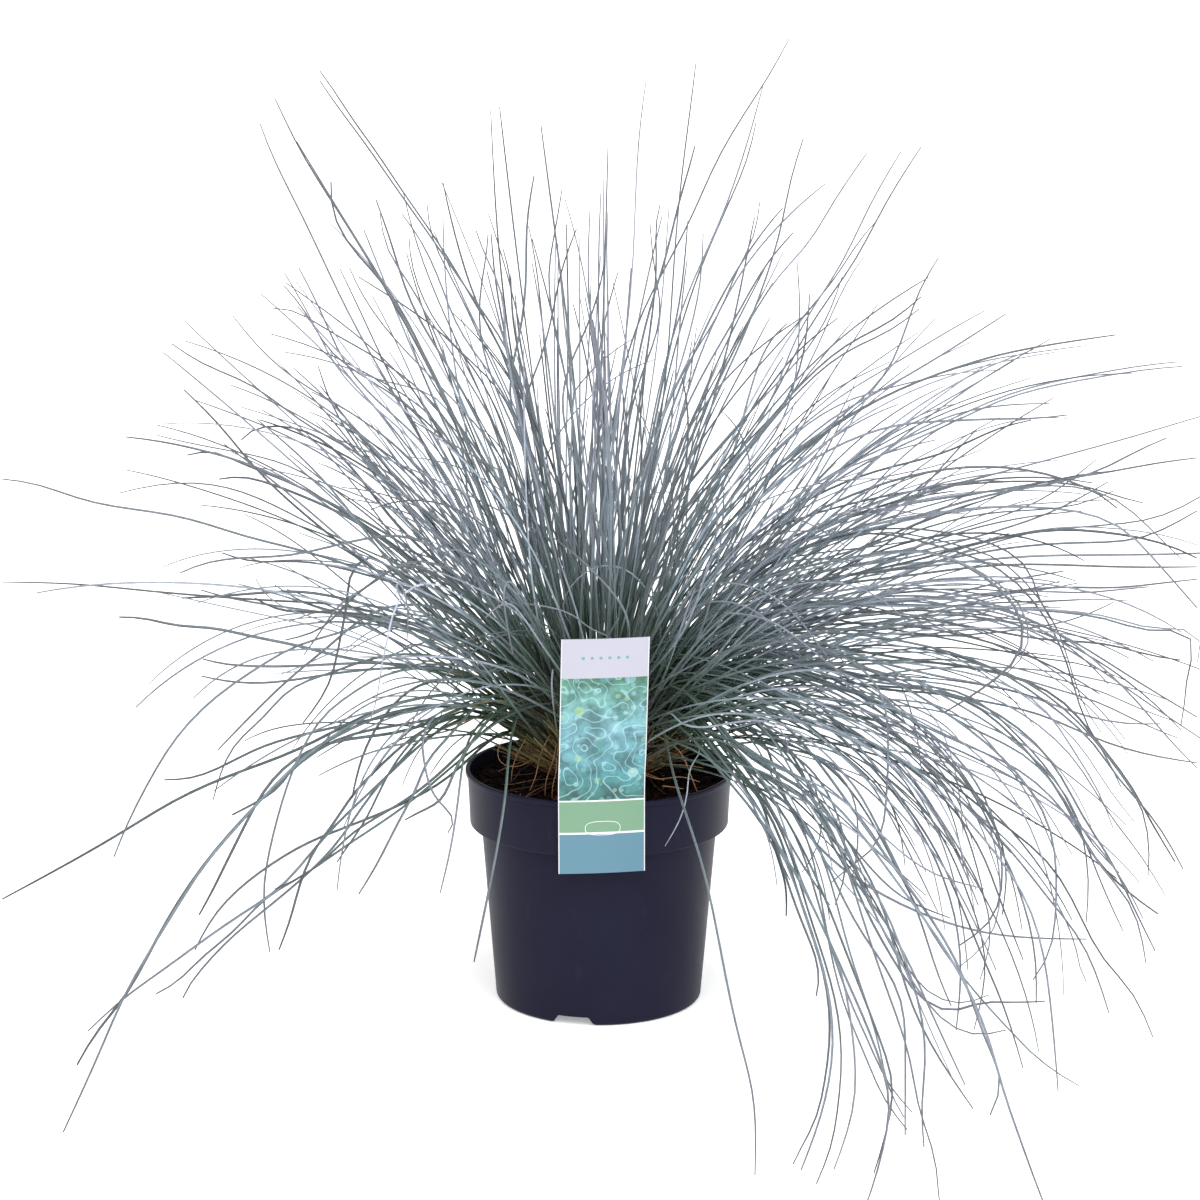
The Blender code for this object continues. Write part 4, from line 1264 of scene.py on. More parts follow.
def pot_section():
    """The pot's section: up its inside from the middle of the floor, then down outside."""
    step = BAND_FOOT_HEIGHT
    lip_foot = POT_HEIGHT - LIP_HEIGHT
    lip, edge, curve = LIP_CURVE, BAND_EDGE, STEP_CURVE
    inner_lip = band_radius(POT_HEIGHT) - WALL
    inside = [(0.0, FLOOR_TOP)]
    inside += run((tub_radius(FLOOR_TOP) - WALL, FLOOR_TOP), (TUB_RADIUS - WALL, step), 8)
    inside += [(TUB_RADIUS - WALL, step), (band_radius(step) - WALL, step + WALL)]
    inside += quarter((inner_lip + lip, POT_HEIGHT - lip), lip, 180.0, 90.0, 3)
    outside = quarter((LIP_RADIUS - lip, POT_HEIGHT - lip), lip, 90.0, 0.0, 4)
    outside += quarter((LIP_RADIUS - lip, lip_foot + lip), lip, 0.0, -80.0, 3)
    band_top = (BAND_RADIUS, lip_foot - UNDER_LIP)
    outside += run(band_top, (BAND_FOOT_RADIUS, step + BAND_EDGE_TOP), 4)
    band_foot = (BAND_FOOT_RADIUS - BAND_EDGE_INSET, step + edge)
    outside += quarter(band_foot, edge, 0.0, -90.0, 4)
    outside += quarter((TUB_RADIUS + curve, step - curve), curve, 90.0, 180.0, 3)
    low = tub_radius(FOOT_CURVE)
    outside += run((TUB_RADIUS, step - STEP_CLEAR), (low, FOOT_CURVE), 8)
    outside += quarter((low - FOOT_CURVE, FOOT_CURVE), FOOT_CURVE, 0.0, -90.0, 6)
    ring = FOOT_RADIUS - FOOT_WIDTH - FOOT_INSET
    under = [(ring, 0.0), (ring, FLOOR_LIFT), (PAD_RADIUS, FLOOR_LIFT), (PAD_RADIUS, 0.0)]
    return inside + outside + under + [(0.0, 0.0)]


def notch_cutter():
    """Bars with rounded upper corners that run out through the foot's edge."""
    bm = bmesh.new()
    inner, outer = FOOT_RADIUS - NOTCH_REACH, FOOT_RADIUS + FOOT_WIDTH
    corner, flare, deep = NOTCH_CORNER, NOTCH_FLARE, -NOTCH_HEIGHT
    top, foot = NOTCH_TOP_WIDTH / 2.0, NOTCH_WIDTH / 2.0
    right = quarter((top - corner * 0.4, NOTCH_HEIGHT - corner), corner, 20.0, 90.0, 4)
    outline = [(foot + NOTCH_SPREAD, deep), (foot + flare, 0.0), (foot - flare, flare)]
    outline += right + [(-x, z) for x, z in reversed(right)]
    outline += [(flare - foot, flare), (-foot - flare, 0.0), (-foot - NOTCH_SPREAD, deep)]
    for notch in range(NOTCHES):
        turn = Matrix.Rotation(math.radians(NOTCH_AZIMUTH + 360.0 / NOTCHES * notch), 4, "Z")
        near, far = ([turn @ Vector((r, x, z)) for x, z in outline] for r in (inner, outer))
        bar(bm, near, far)
    return temporary(bm, "notch_cutter")


def drain_cutter():
    """Plugs that cut the drain holes out of the floor."""
    bm = bmesh.new()
    for drain in range(DRAINS):
        azimuth = math.radians(NOTCH_AZIMUTH + 360.0 / DRAINS * (drain + 0.5))
        place = Vector((math.cos(azimuth), math.sin(azimuth), 0.0)) * DRAIN_CIRCLE
        place.z = FLOOR_LIFT + FLOOR_THICKNESS / 2.0
        bmesh.ops.create_cone(
            bm,
            cap_ends=True,
            segments=DRAIN_SIDES,
            radius1=DRAIN_RADIUS,
            radius2=DRAIN_RADIUS,
            depth=3.0 * FLOOR_THICKNESS,
            matrix=Matrix.Translation(place),
        )
    return temporary(bm, "drain_cutter")


def settled(thing, cutters):
    """Cuts the cutters out of a mesh for good, and removes them."""
    for cutter in cutters:
        modifier = thing.modifiers.new(cutter.name, "BOOLEAN")
        modifier.object = cutter
        modifier.operation = "DIFFERENCE"
        modifier.solver = "EXACT"
    graph = bpy.context.evaluated_depsgraph_get()
    mesh = bpy.data.meshes.new_from_object(thing.evaluated_get(graph))
    thing.modifiers.clear()
    thing.data = mesh
    for cutter in cutters:
        bpy.data.objects.remove(cutter)


def pot_material():
    """Dark blue-black moulded plastic: satin, a little dusty, with fine scratches."""
    made, tree, shader = new_material(
        "pot_plastic", Specular_IOR_Level=0.082, Specular_Tint=(0.88, 0.84, 1.0, 1.0)
    )
    place = place_node(tree)
    cloud = noise_node(tree, place, 22.0, 5.0)
    tint = ramp(tree, cloud, (0.30, 0.0080, 0.0083, 0.0206), (0.75, 0.0108, 0.0111, 0.0256))
    dust = noise_node(tree, place_node(tree, (1.0, 1.0, 0.35)), 60.0, 6.0, 0.7)
    dusty = ramp(tree, dust, (0.60, 0.0), (0.85, 0.05))
    colour = mix(tree, dusty, tint, (0.20, 0.20, 0.22))
    rough = math_node(tree, "MULTIPLY_ADD", cloud, 0.22, 0.30)
    grain = noise_node(tree, place, 1400.0, 2.0)
    scratch = noise_node(tree, place_node(tree, (30.0, 30.0, 500.0)), 3.0, 2.0)
    height = math_node(tree, "MULTIPLY_ADD", scratch, 0.35, grain)
    normal = bump(tree, height, 0.12, 0.00012)
    connect(tree, shader, Base_Color=colour, Roughness=rough, Normal=normal)
    return made


def finish_piece(thing, material, slot, *nodes, smooth=None):
    """Dresses a piece, makes it ride on the body and stand for its nodes."""
    thing.data.materials.clear()
    thing.data.materials.append(material)
    if smooth is not None:
        thing.data.shade_smooth()
        thing.data.set_sharp_from_angle(angle=math.radians(smooth))
    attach(thing, "root")
    if nodes:
        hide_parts(*nodes)


def add_pot():
    """The pot as one moulded piece, with its notches and drain holes cut."""
    pot = temporary(turned(pot_section(), POT_TURNS), "nursery_pot")
    settled(pot, [notch_cutter(), drain_cutter()])
    finish_piece(pot, pot_material(), "pot", "pot_band", "pot_tub", smooth=POT_SMOOTH)


# Soil

SOIL_RINGS = 46
SOIL_TURNS = 150
SOIL_SMOOTH = 50.0
# The soil's top: lumps, a mound round the crown and a rise at the pot's wall, each with its
# height, where it is and how wide it is
LUMP_SCALE = 95.0
LUMP_NOISE = (0.9, 2.2, 4)
LUMP_HEIGHT = 0.0016
MOST_LUMP = 1.5
MOUND = (0.0030, 0.034, 0.014)
EDGE_RISE = (0.0020, 0.050, 0.025)
SOIL_SINK = 0.0006
PEAT_GAP = 1.5 * GAP
PEAT_SINK = 0.001

CRUMBS = 2200
CRUMB_INNER = 0.026
CRUMB_RIM = 0.0030
CRUMB_SIZE = (0.0006, 0.0008, 1.3, 0.0044)
CRUMB_ROUGH = 0.16
CRUMB_DEPTHS = (0.5, 0.9)
CRUMB_HEIGHTS = (0.3, 0.7)
CRUMB_TILT = 0.5
CRUMB_LIFT = 0.25

FIBRES = 44
FIBRE_REACH = (0.028, 0.076)
FIBRE_WAVES = (10, 60)
FIBRE_SPEEDS = (3, 8)
FIBRE_LENGTHS = (0.006, 0.030)
FIBRE_SWING = 60.0
FIBRE_RIM = 0.0040
FIBRE_LIFT = 0.0006
FIBRE_WIDTHS = (0.7, 1.5)
FIBRE_DARKNESS = 1.5
FIBRE_SCALE = 0.00020


def soil_height(x, y):
    """The lumpy top of the peat, a little higher round the crown."""
    lumps = noise.fractal(Vector((x, y, 0.0)) * LUMP_SCALE, *LUMP_NOISE)
    reach = math.hypot(x, y)
    mound = MOUND[0] * math.exp(-((reach - MOUND[1]) / MOUND[2]) ** 2)
    edge = EDGE_RISE[0] * min(max((reach - EDGE_RISE[1]) / EDGE_RISE[2], 0.0), 1.0)
    lumps = max(-MOST_LUMP, min(MOST_LUMP, lumps))
    return SOIL_TOP + LUMP_HEIGHT * lumps + mound + edge - SOIL_SINK


def inside_pot(paths, rim):
    """Which paths stay inside the band by more than the rim given."""
    return np.hypot(paths[..., 0], paths[..., 1]).max(1) < band_radius(SOIL_TOP) - rim


def soil_material():
    """Moist peat: dark red-brown with paler crumbs, darkened to black in its hollows as
    painted shade.
    """
    made, tree, shader = new_material("peat", Roughness=0.92, Specular_IOR_Level=0.12)
    place = place_node(tree)
    fine = noise_node(tree, place, 420.0, 6.0, 0.75)
    coarse = noise_node(tree, place, 170.0, 3.0, 0.6)
    # The peat's own dark red-brown. Its darkest stops fall in the bump's hollows as painted
    # shade.
    tint = ramp(
        tree, fine,
        (0.34, 0.0018, 0.0008, 0.0009), (0.52, 0.0055, 0.0018, 0.0016),
        (0.66, 0.036, 0.0085, 0.0052), (0.82, 0.105, 0.028, 0.014),
    )
    shade = ramp(tree, coarse, (0.42, 0.20, 0.18, 0.18), (0.62, 1.90, 1.60, 1.45))
    normal = bump(tree, fine, 0.8, 0.0008)
    connect(tree, shader, Base_Color=times(tree, tint, shade), Normal=normal)
    return made


def add_soil(material):
    """The peat as one body with a lumpy top, reaching down to the pot's floor."""
    gap = PEAT_GAP
    shelf = BAND_FOOT_HEIGHT + WALL
    level = SOIL_TOP - PEAT_SINK
    section = [
        (0.0, FLOOR_TOP + gap),
        (tub_radius(FLOOR_TOP) - WALL - gap, FLOOR_TOP + gap),
        (TUB_RADIUS - WALL - gap, shelf + gap),
        (band_radius(shelf) - WALL - gap, shelf + gap),
    ]
    section += run((band_radius(SOIL_TOP) - WALL - gap, level), (0.0, level), SOIL_RINGS)
    section.append((0.0, level))
    bm = turned(section, SOIL_TURNS)
    for vertex in bm.verts:
        if vertex.co.z > (shelf + level) / 2.0:
            vertex.co.z = soil_height(vertex.co.x, vertex.co.y)
    finish_piece(temporary(bm, "peat"), material, "soil", "soil", smooth=SOIL_SMOOTH)


def lump():
    """Corners and faces of a twelve-cornered lump of radius 1."""
    bm = bmesh.new()
    bmesh.ops.create_icosphere(bm, subdivisions=1, radius=1.0)
    corners = np.array([vertex.co for vertex in bm.verts])
    faces = np.array([[vertex.index for vertex in face.verts] for face in bm.faces])
    bm.free()
    return corners, faces


def add_crumbs(material):
    """Loose crumbs and flakes of peat and bark on the soil."""
    chance = seeded("crumbs")
    corners, faces = lump()
    verts, polygons = [], []
    inner, outer = CRUMB_INNER, band_radius(SOIL_TOP) - WALL - CRUMB_RIM
    least, scale, spread, most = CRUMB_SIZE
    for _ in range(CRUMBS):
        reach = math.sqrt(chance.uniform(inner**2, outer**2))
        azimuth = chance.uniform(0.0, math.tau)
        x, y = reach * math.cos(azimuth), reach * math.sin(azimuth)
        size = min(least + scale * chance.gamma(spread), most)
        shape = corners * (1.0 + chance.normal(0.0, CRUMB_ROUGH, corners.shape))
        flat = (chance.uniform(*CRUMB_DEPTHS), chance.uniform(*CRUMB_HEIGHTS))
        shape *= size * np.array([1.0, *flat])
        tilt = Matrix.Rotation(chance.uniform(0.0, math.tau), 3, "Z")
        tilt = tilt @ Matrix.Rotation(chance.normal(0.0, CRUMB_TILT), 3, "X")
        place = (x, y, soil_height(x, y) + CRUMB_LIFT * size)
        polygons.append(faces + len(verts) * len(corners))
        verts.append(shape @ np.array(tilt).T + place)
    mesh = bpy.data.meshes.new("peat_crumbs")
    mesh.from_pydata(np.concatenate(verts).tolist(), [], np.concatenate(polygons).tolist())
    finish_piece(placed("peat_crumbs", mesh), material, "soil")


def fibre_material():
    """Roots and dead strands, from dark brown to straw."""
    made, tree, shader = new_material("fibre", Roughness=0.8)
    colour = ramp(
        tree, attribute(tree, "tone"),
        (0.0, 0.030, 0.010, 0.005), (0.6, 0.075, 0.028, 0.013),
        (0.9, 0.300, 0.150, 0.070), (1.0, 0.500, 0.330, 0.190),
    )
    grain = noise_node(tree, place_node(tree), 900.0, 3.0)
    shade = ramp(tree, grain, (0.3, 0.7), (0.7, 1.2))
    connect(tree, shader, Base_Color=times(tree, colour, shade))
    return made


def add_fibres(material):
    """Thin roots and fibres that lie on the peat."""
    chance = seeded("fibres")
    near, far = FIBRE_REACH
    reach = np.sqrt(chance.uniform(near**2, far**2, FIBRES))
    azimuth = chance.uniform(0.0, math.tau, FIBRES)
    none, ones = np.zeros(FIBRES), np.ones(FIBRES)
    start = np.stack([reach * np.cos(azimuth), reach * np.sin(azimuth), none], -1)
    flat = np.full(FIBRES, math.pi / 2.0)
    size = np.radians(chance.uniform(*FIBRE_WAVES, FIBRES))
    wave = (size, chance.uniform(*FIBRE_SPEEDS, FIBRES), azimuth, none, none)
    heading = chance.uniform(0.0, math.tau, FIBRES)
    length = chance.uniform(*FIBRE_LENGTHS, FIBRES)
    swing = np.radians(chance.normal(0.0, FIBRE_SWING, FIBRES))
    paths = grow(start, heading, swing, flat, flat, ones, length, wave)
    paths = paths[inside_pot(paths, FIBRE_RIM)]
    for path in paths:
        for point in path:
            point[2] = soil_height(point[0], point[1]) + FIBRE_LIFT
    count = len(paths)
    fibres = {
        "paths": paths,
        "tone": chance.uniform(0.0, 1.0, count) ** FIBRE_DARKNESS,
        "age": np.zeros(count),
        "width": chance.uniform(*FIBRE_WIDTHS, count),
    }
    made = strip_object("peat_fibres", fibres, material, FIBRE_SCALE, THREAD_SECTION)


# Crown

HEART_SHARE = 0.84
HEART_TURNS = 64
HEART_STEPS = 16
HEART_START = 14.0
HEART_ROUGH = 0.05
HEART_GRAIN = 260.0
HEART_SINK = 0.0012
HEART_SMOOTH = 60.0
HEART_VALUES = {"along": 0.2, "tone": 0.1, "across": 0.0}

SHEATHS = 820
# Short sheaths need only every second point of a path.
SHEATH_STRIDE = 2
SHEATH_SPREAD = 60.0
SHEATH_CROWDING = 0.55
SHEATH_DEPTHS = (0.014, 0.030)
SHEATH_SINK = 0.001
SHEATH_BEND = (2.0, 6.0)
SHEATH_LENGTHS = (0.024, 0.070)
SHEATH_SWING = 14.0
SHEATH_WIDTHS = (0.7, 1.3)
SHEATH_SCALE = 0.00085

STRANDS = 56
STRAND_FRONT_SHARE = 0.55
STRAND_SIDES = (250.0, 90.0)
STRAND_SPREAD = 55.0
STRAND_LEANS = (38.0, 75.0)
STRAND_START = 0.030
STRAND_TIPS = (120.0, 200.0)
STRAND_LENGTHS = (0.020, 0.065)
STRAND_SWING = 70.0
STRAND_WAVES = (5.0, 28.0)
STRAND_PHASES = (0.0, 6.0)
STRAND_SPEEDS = (4.0, 10.0)
STRAND_LATENESS = (0.5, 1.0)
STRAND_LIFT = 0.0008
STRAND_RIM = 0.0050
STRAND_TONES = (0.35, 1.0)
SHOWN_STRAND_TONE = 0.93
STRAND_SCALE = 0.00034


def sheath_material():
    """Old leaf sheaths: brown at the soil, straw above it and olive where leaves begin."""
    made, tree, shader = new_material("sheath", Roughness=0.62)
    base = ramp(
        tree, attribute(tree, "along"),
        (0.00, 0.110, 0.045, 0.020), (0.30, 0.330, 0.170, 0.075), (0.60, 0.410, 0.260, 0.112),
        (0.85, 0.205, 0.180, 0.072), (1.00, 0.080, 0.110, 0.060),
    )
    vary = ramp(
        tree, attribute(tree, "tone"),
        (0.0, 0.35, 0.32, 0.30), (0.5, 0.85, 0.80, 0.78), (1.0, 1.75, 1.70, 1.65),
    )
    grain = noise_node(tree, place_node(tree, (1.0, 1.0, 0.25)), 900.0, 3.0)
    shade = ramp(tree, grain, (0.3, 0.65), (0.7, 1.25))
    colour = times(tree, times(tree, base, vary), shade)
    connect(tree, shader, Base_Color=colour, Normal=ribs(tree, 16.0, 0.3, 0.0001))
    return made


def add_crown():
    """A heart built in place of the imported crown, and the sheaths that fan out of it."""
    material = sheath_material()
    chance = seeded("sheaths")
    radius = HEART_SHARE * CROWN_BALL_RADIUS
    section = quarter((0.0, CROWN_CENTRE.z), radius, HEART_START, 90.0, HEART_STEPS)
    bm = turned([(0.0, section[0][1])] + section, HEART_TURNS)
    for vertex in bm.verts:
        rough = 1.0 + HEART_ROUGH * noise.noise(vertex.co * HEART_GRAIN)
        vertex.co.x *= rough
        vertex.co.y *= rough
        vertex.co.z = max(vertex.co.z, SOIL_TOP - HEART_SINK)
    heart = temporary(bm, "crown_heart")
    for key, value in HEART_VALUES.items():
        layer = heart.data.attributes.new(key, "FLOAT", "POINT")
        layer.data.foreach_set("value", np.full(len(heart.data.vertices), value, np.float32))
    finish_piece(heart, material, "crown", "crown", smooth=HEART_SMOOTH)

    azimuth = chance.uniform(0.0, math.tau, SHEATHS)
    lean = np.radians(SHEATH_SPREAD) * chance.uniform(0.0, 1.0, SHEATHS) ** SHEATH_CROWDING
    depth = chance.uniform(*SHEATH_DEPTHS, SHEATHS)
    start = np.array(CROWN_CENTRE) + directions(azimuth, lean) * depth[:, None]
    start[:, 2] = np.maximum(start[:, 2], SOIL_TOP - SHEATH_SINK)
    tip = lean + np.radians(chance.normal(*SHEATH_BEND, SHEATHS))
    length = chance.uniform(*SHEATH_LENGTHS, SHEATHS)
    swing = np.radians(chance.normal(0.0, SHEATH_SWING, SHEATHS))
    paths = grow(start, azimuth, swing, lean, tip, np.ones(SHEATHS), length)
    kept = ~(crosses_label(paths) | crosses_pot(paths))
    sheaths = {
        "paths": paths[kept][:, ::SHEATH_STRIDE],
        "tone": chance.uniform(0.0, 1.0, SHEATHS)[kept],
        "age": np.zeros(int(kept.sum())),
        "width": chance.uniform(*SHEATH_WIDTHS, SHEATHS)[kept],
    }
    made = strip_object("crown_sheaths", sheaths, material, SHEATH_SCALE)


def drawn_strands():
    """Paths of the strands drawn after the photograph, laid on the soil."""
    paths = []
    for depth, *values in DRAWN_STRANDS:
        points = [seen_at(pixel, depth) for pixel in pairs(values)]
        for point in points:
            point.z = max(point.z, soil_height(point.x, point.y) + STRAND_LIFT)
        paths.append(through(points, STEPS))
    return np.stack(paths)


def add_strands(material):
    """Dead curled leaves that hang from the crown over the soil."""
    chance = seeded("strands")
    in_front = chance.uniform(0, 1, STRANDS) < STRAND_FRONT_SHARE
    azimuth = np.radians(np.where(in_front, *STRAND_SIDES))
    azimuth = azimuth + np.radians(chance.normal(0.0, STRAND_SPREAD, STRANDS))
    lean = np.radians(chance.uniform(*STRAND_LEANS, STRANDS))
    start = from_crown(azimuth, lean, STRAND_START)
    tip = np.radians(chance.uniform(*STRAND_TIPS, STRANDS))
    length = chance.uniform(*STRAND_LENGTHS, STRANDS)
    swing = np.radians(chance.normal(0.0, STRAND_SWING, STRANDS))
    size = np.radians(chance.uniform(*STRAND_WAVES, STRANDS))
    none = np.zeros(STRANDS)
    phase = chance.uniform(*STRAND_PHASES, STRANDS)
    wave = (size, chance.uniform(*STRAND_SPEEDS, STRANDS), phase, none, none)
    late = chance.uniform(*STRAND_LATENESS, STRANDS)
    floor = SOIL_TOP + STRAND_LIFT
    paths = grow(start, azimuth, swing, lean, tip, late, length, wave, floor)
    inside = inside_pot(paths, STRAND_RIM)
    paths = np.concatenate([paths[inside], drawn_strands()])
    count = len(paths)
    tone = chance.uniform(*STRAND_TONES, count)
    strands = {
        "paths": paths,
        "tone": np.where(np.arange(count) < inside.sum(), tone, SHOWN_STRAND_TONE),
        "age": np.ones(count),
        "width": chance.uniform(*SHEATH_WIDTHS, count),
    }
    made = strip_object("crown_strands", strands, material, STRAND_SCALE, THREAD_SECTION)


# Label

LABEL_COLUMNS = 16
LABEL_ROWS = 60
LABEL_SMOOTH = 40.0
LABEL_BEND_LENGTH = 0.03
HOOK_WIDTH = 0.0200
HOOK_REACH = 0.0070
HOOK_THICKNESS = 0.0008
HOOK_LEG = 0.0075
HOOK_ROOT = 0.0005
HOOK_FOOT = 0.0138
HOOK_GAP = 0.0001
HOOK_LIFT = 0.0004
# The oval cut in the label: its place, its size, its line and how the line stands out
CUT_TURNS = 72
CUT_PLACE = 0.0292
CUT_SHIFT = 0.0005
CUT_HALF_WIDTH = 0.0108
CUT_HALF_HEIGHT = 0.0042
CUT_LINE = 0.00032
CUT_SQUARENESS = 0.7
CUT_LOW, CUT_HIGH = 0.00002, 0.00018
# The print, as shares of the label's width and length, and the radius of a dot, in mm
MM = 1000.0
PANEL_FOOT = 0.299
HEADER_FOOT = 0.832
DOTS_LINE = 0.918
DOTS_HALF = 0.28
DOT_HALF_SPACE = 0.05
DOT_RADIUS = 1.05
BORDER = 0.489
HEADER_COLOUR = (0.400, 0.398, 0.474)
DOT_COLOUR = (0.130, 0.300, 0.280)
BORDER_COLOUR = (0.620, 0.640, 0.650)
CONTOUR_COLOUR = (0.400, 0.660, 0.700)


def label_point(across, along, back):
    """A point of the label: across from its middle line, along from its foot, back from
    its printed face."""
    turn = across / LABEL_CURVE_RADIUS
    side = (LABEL_CURVE_RADIUS - back) * math.sin(turn)
    sink = LABEL_CURVE_RADIUS - (LABEL_CURVE_RADIUS - back) * math.cos(turn)
    above = max(along - LABEL_BEND, 0.0)
    lean = math.radians(LABEL_LEAN) * min(above / LABEL_BEND_LENGTH, 1.0)
    forward = above * math.sin(lean)
    height = along - above * (1.0 - math.cos(lean))
    return Vector((side, LABEL_FRONT + sink - forward, height))


def label_dots(tree, across, along):
    """1 in a row of dots across the header, and 0 elsewhere."""
    half = DOT_HALF_SPACE
    space = math_node(tree, "PINGPONG", math_node(tree, "ADD", across, half), half)
    beside = math_node(tree, "MULTIPLY", space, LABEL_WIDTH * MM)
    off = math_node(tree, "SUBTRACT", along, DOTS_LINE)
    above = math_node(tree, "MULTIPLY", off, LABEL_LENGTH * MM)
    squares = [math_node(tree, "POWER", value, 2.0) for value in (beside, above)]
    reach = math_node(tree, "SQRT", math_node(tree, "ADD", *squares))
    middle = math_node(tree, "ABSOLUTE", math_node(tree, "SUBTRACT", across, 0.5))
    near = math_node(tree, "LESS_THAN", middle, DOTS_HALF)
    return math_node(tree, "MULTIPLY", math_node(tree, "LESS_THAN", reach, DOT_RADIUS), near)


def label_panel(tree, place, along):
    """Contour lines and soft discs on a blue-green ground."""
    ground = ramp(
        tree, along,
        (0.30, 0.025, 0.140, 0.120), (0.42, 0.050, 0.230, 0.260), (0.60, 0.130, 0.330, 0.390),
        (0.74, 0.110, 0.310, 0.290), (0.84, 0.040, 0.180, 0.100),
    )
    stretched = wire(tree, "Mapping", {"Vector": place, "Scale": (4.5, 13.0, 1.0)})
    stretched = stretched.outputs["Vector"]
    blur = noise_node(tree, stretched, 0.9, 3.0)
    shade = ramp(tree, blur, (0.38, 0.40, 0.44, 0.43), (0.64, 1.35, 1.20, 1.18))
    panel = times(tree, ground, shade)
    cloud = noise_node(tree, stretched, 0.55, 1.0)
    level = math_node(tree, "PINGPONG", math_node(tree, "MULTIPLY", cloud, 9.0), 0.5)
    panel = mix(tree, ramp(tree, level, (0.03, 0.45), (0.10, 0.0)), panel, CONTOUR_COLOUR)
    for size, seed, opacity in ((1.0, 3.0, 0.55), (2.1, 8.0, 0.40)):
        shift = {"Vector": stretched, "Location": (seed, 2.0 * seed, 0.0)}
        moved = wire(tree, "Mapping", shift).outputs["Vector"]
        cells = wire(tree, "TexVoronoi", {"Vector": moved, "Scale": size})
        disc = ramp(tree, cells.outputs["Distance"], (0.27, opacity), (0.31, 0.0))
        hue = wire(tree, "SeparateColor", {"Color": cells.outputs["Color"]}).outputs["Red"]
        tints = ramp(
            tree, hue,
            (0.00, 0.025, 0.160, 0.130), (0.30, 0.080, 0.260, 0.290),
            (0.55, 0.200, 0.420, 0.480), (0.80, 0.400, 0.600, 0.660),
            (1.00, 0.280, 0.440, 0.170),
        )
        panel = mix(tree, disc, panel, tints)
    return panel


def label_material():
    """A printed card: a pale header, a panel of soft generic shapes and two plain strips."""
    made, tree, shader = new_material("label_print", Roughness=0.34, Coat_Weight=0.15)
    place = wire(tree, "UVMap", uv_map="print").outputs["UV"]
    parts = wire(tree, "SeparateXYZ", {"Vector": place})
    across, along = parts.outputs["X"], parts.outputs["Y"]
    lower = ramp(
        tree, along,
        (0.000, 0.0715, 0.181, 0.247), (0.157, 0.660, 0.680, 0.680),
        (0.167, 0.134, 0.264, 0.163), (0.291, 0.660, 0.680, 0.680),
        interpolation="CONSTANT",
    )
    on_panel = math_node(tree, "GREATER_THAN", along, PANEL_FOOT)
    colour = mix(tree, on_panel, lower, label_panel(tree, place, along))
    header = math_node(tree, "GREATER_THAN", along, HEADER_FOOT)
    colour = mix(tree, header, colour, HEADER_COLOUR)
    colour = mix(tree, label_dots(tree, across, along), colour, DOT_COLOUR)
    middle = math_node(tree, "ABSOLUTE", math_node(tree, "SUBTRACT", across, 0.5))
    colour = mix(tree, math_node(tree, "GREATER_THAN", middle, BORDER), colour, BORDER_COLOUR)
    gloss = noise_node(tree, place_node(tree), 300.0, 3.0)
    connect(tree, shader, Base_Color=colour, Normal=bump(tree, gloss, 0.05, 0.0001))
    return made


def label_back_material():
    """The unprinted side of the card."""
    made, tree, shader = new_material("label_back", Roughness=0.5)
    cloud = noise_node(tree, place_node(tree), 120.0, 3.0)
    colour = ramp(tree, cloud, (0.3, 0.70, 0.71, 0.72), (0.7, 0.80, 0.81, 0.82))
    connect(tree, shader, Base_Color=colour)
    return made


def label_piece(bm, name):
    """A piece made in the label's own coordinates, put in its place."""
    bmesh.ops.transform(bm, matrix=label_place(), verts=bm.verts[:])
    return temporary(bm, name)


def add_card(back_material):
    """The card: a printed front, a plain back and the edges between them."""
    bm = bmesh.new()
    half = LABEL_WIDTH / 2.0
    columns = [half * (2.0 * c / LABEL_COLUMNS - 1.0) for c in range(LABEL_COLUMNS + 1)]
    rows = [LABEL_LENGTH * r / LABEL_ROWS for r in range(LABEL_ROWS + 1)]
    uv = bm.loops.layers.uv.new("print")
    shares, sheets = {}, []
    for back in (0.0, LABEL_THICKNESS):
        grid = [[bm.verts.new(label_point(x, z, back)) for x in columns] for z in rows]
        for z, line in zip(rows, grid):
            for x, vertex in zip(columns, line):
                shares[vertex] = (x / LABEL_WIDTH + 0.5, z / LABEL_LENGTH)
        sheets.append(grid)
    for sheet, grid in enumerate(sheets):
        for low, high in zip(grid, grid[1:]):
            for column in range(LABEL_COLUMNS):
                corners = [low[column], low[column + 1], high[column + 1], high[column]]
                face = bm.faces.new(corners if sheet == 0 else corners[::-1])
                face.material_index = sheet
    edges = [edge for edge in bm.edges if edge.is_boundary]
    for face in bmesh.ops.bridge_loops(bm, edges=edges)["faces"]:
        face.material_index = 1
    for face in bm.faces:
        for loop in face.loops:
            loop[uv].uv = shares[loop.vert]
    card = label_piece(bm, "label_card")
    finish_piece(card, label_material(), "label", "label", smooth=LABEL_SMOOTH)
    card.data.materials.append(back_material)


def add_hook(back_material):
    """The hook behind the card that holds the pot's lip."""
    foot = LABEL_BEND - HOOK_FOOT
    behind = LABEL_FRONT + LABEL_THICKNESS + HOOK_GAP
    level = POT_HEIGHT - LABEL_FOOT + HOOK_LIFT
    top, past = level + HOOK_THICKNESS, behind + HOOK_REACH
    outline = [
        (behind, foot),
        (behind, top),
        (past, top),
        (past + HOOK_THICKNESS, level),
        (past + HOOK_THICKNESS, level - HOOK_LEG),
        (past, level - HOOK_LEG),
        (past, level),
        (behind + HOOK_ROOT, level),
        (behind + HOOK_ROOT, foot),
    ]
    bm = bmesh.new()
    half = HOOK_WIDTH / 2.0
    bar(bm, *([(x, y, z) for y, z in outline] for x in (-half, half)))
    finish_piece(label_piece(bm, "label_hook"), back_material, "label")


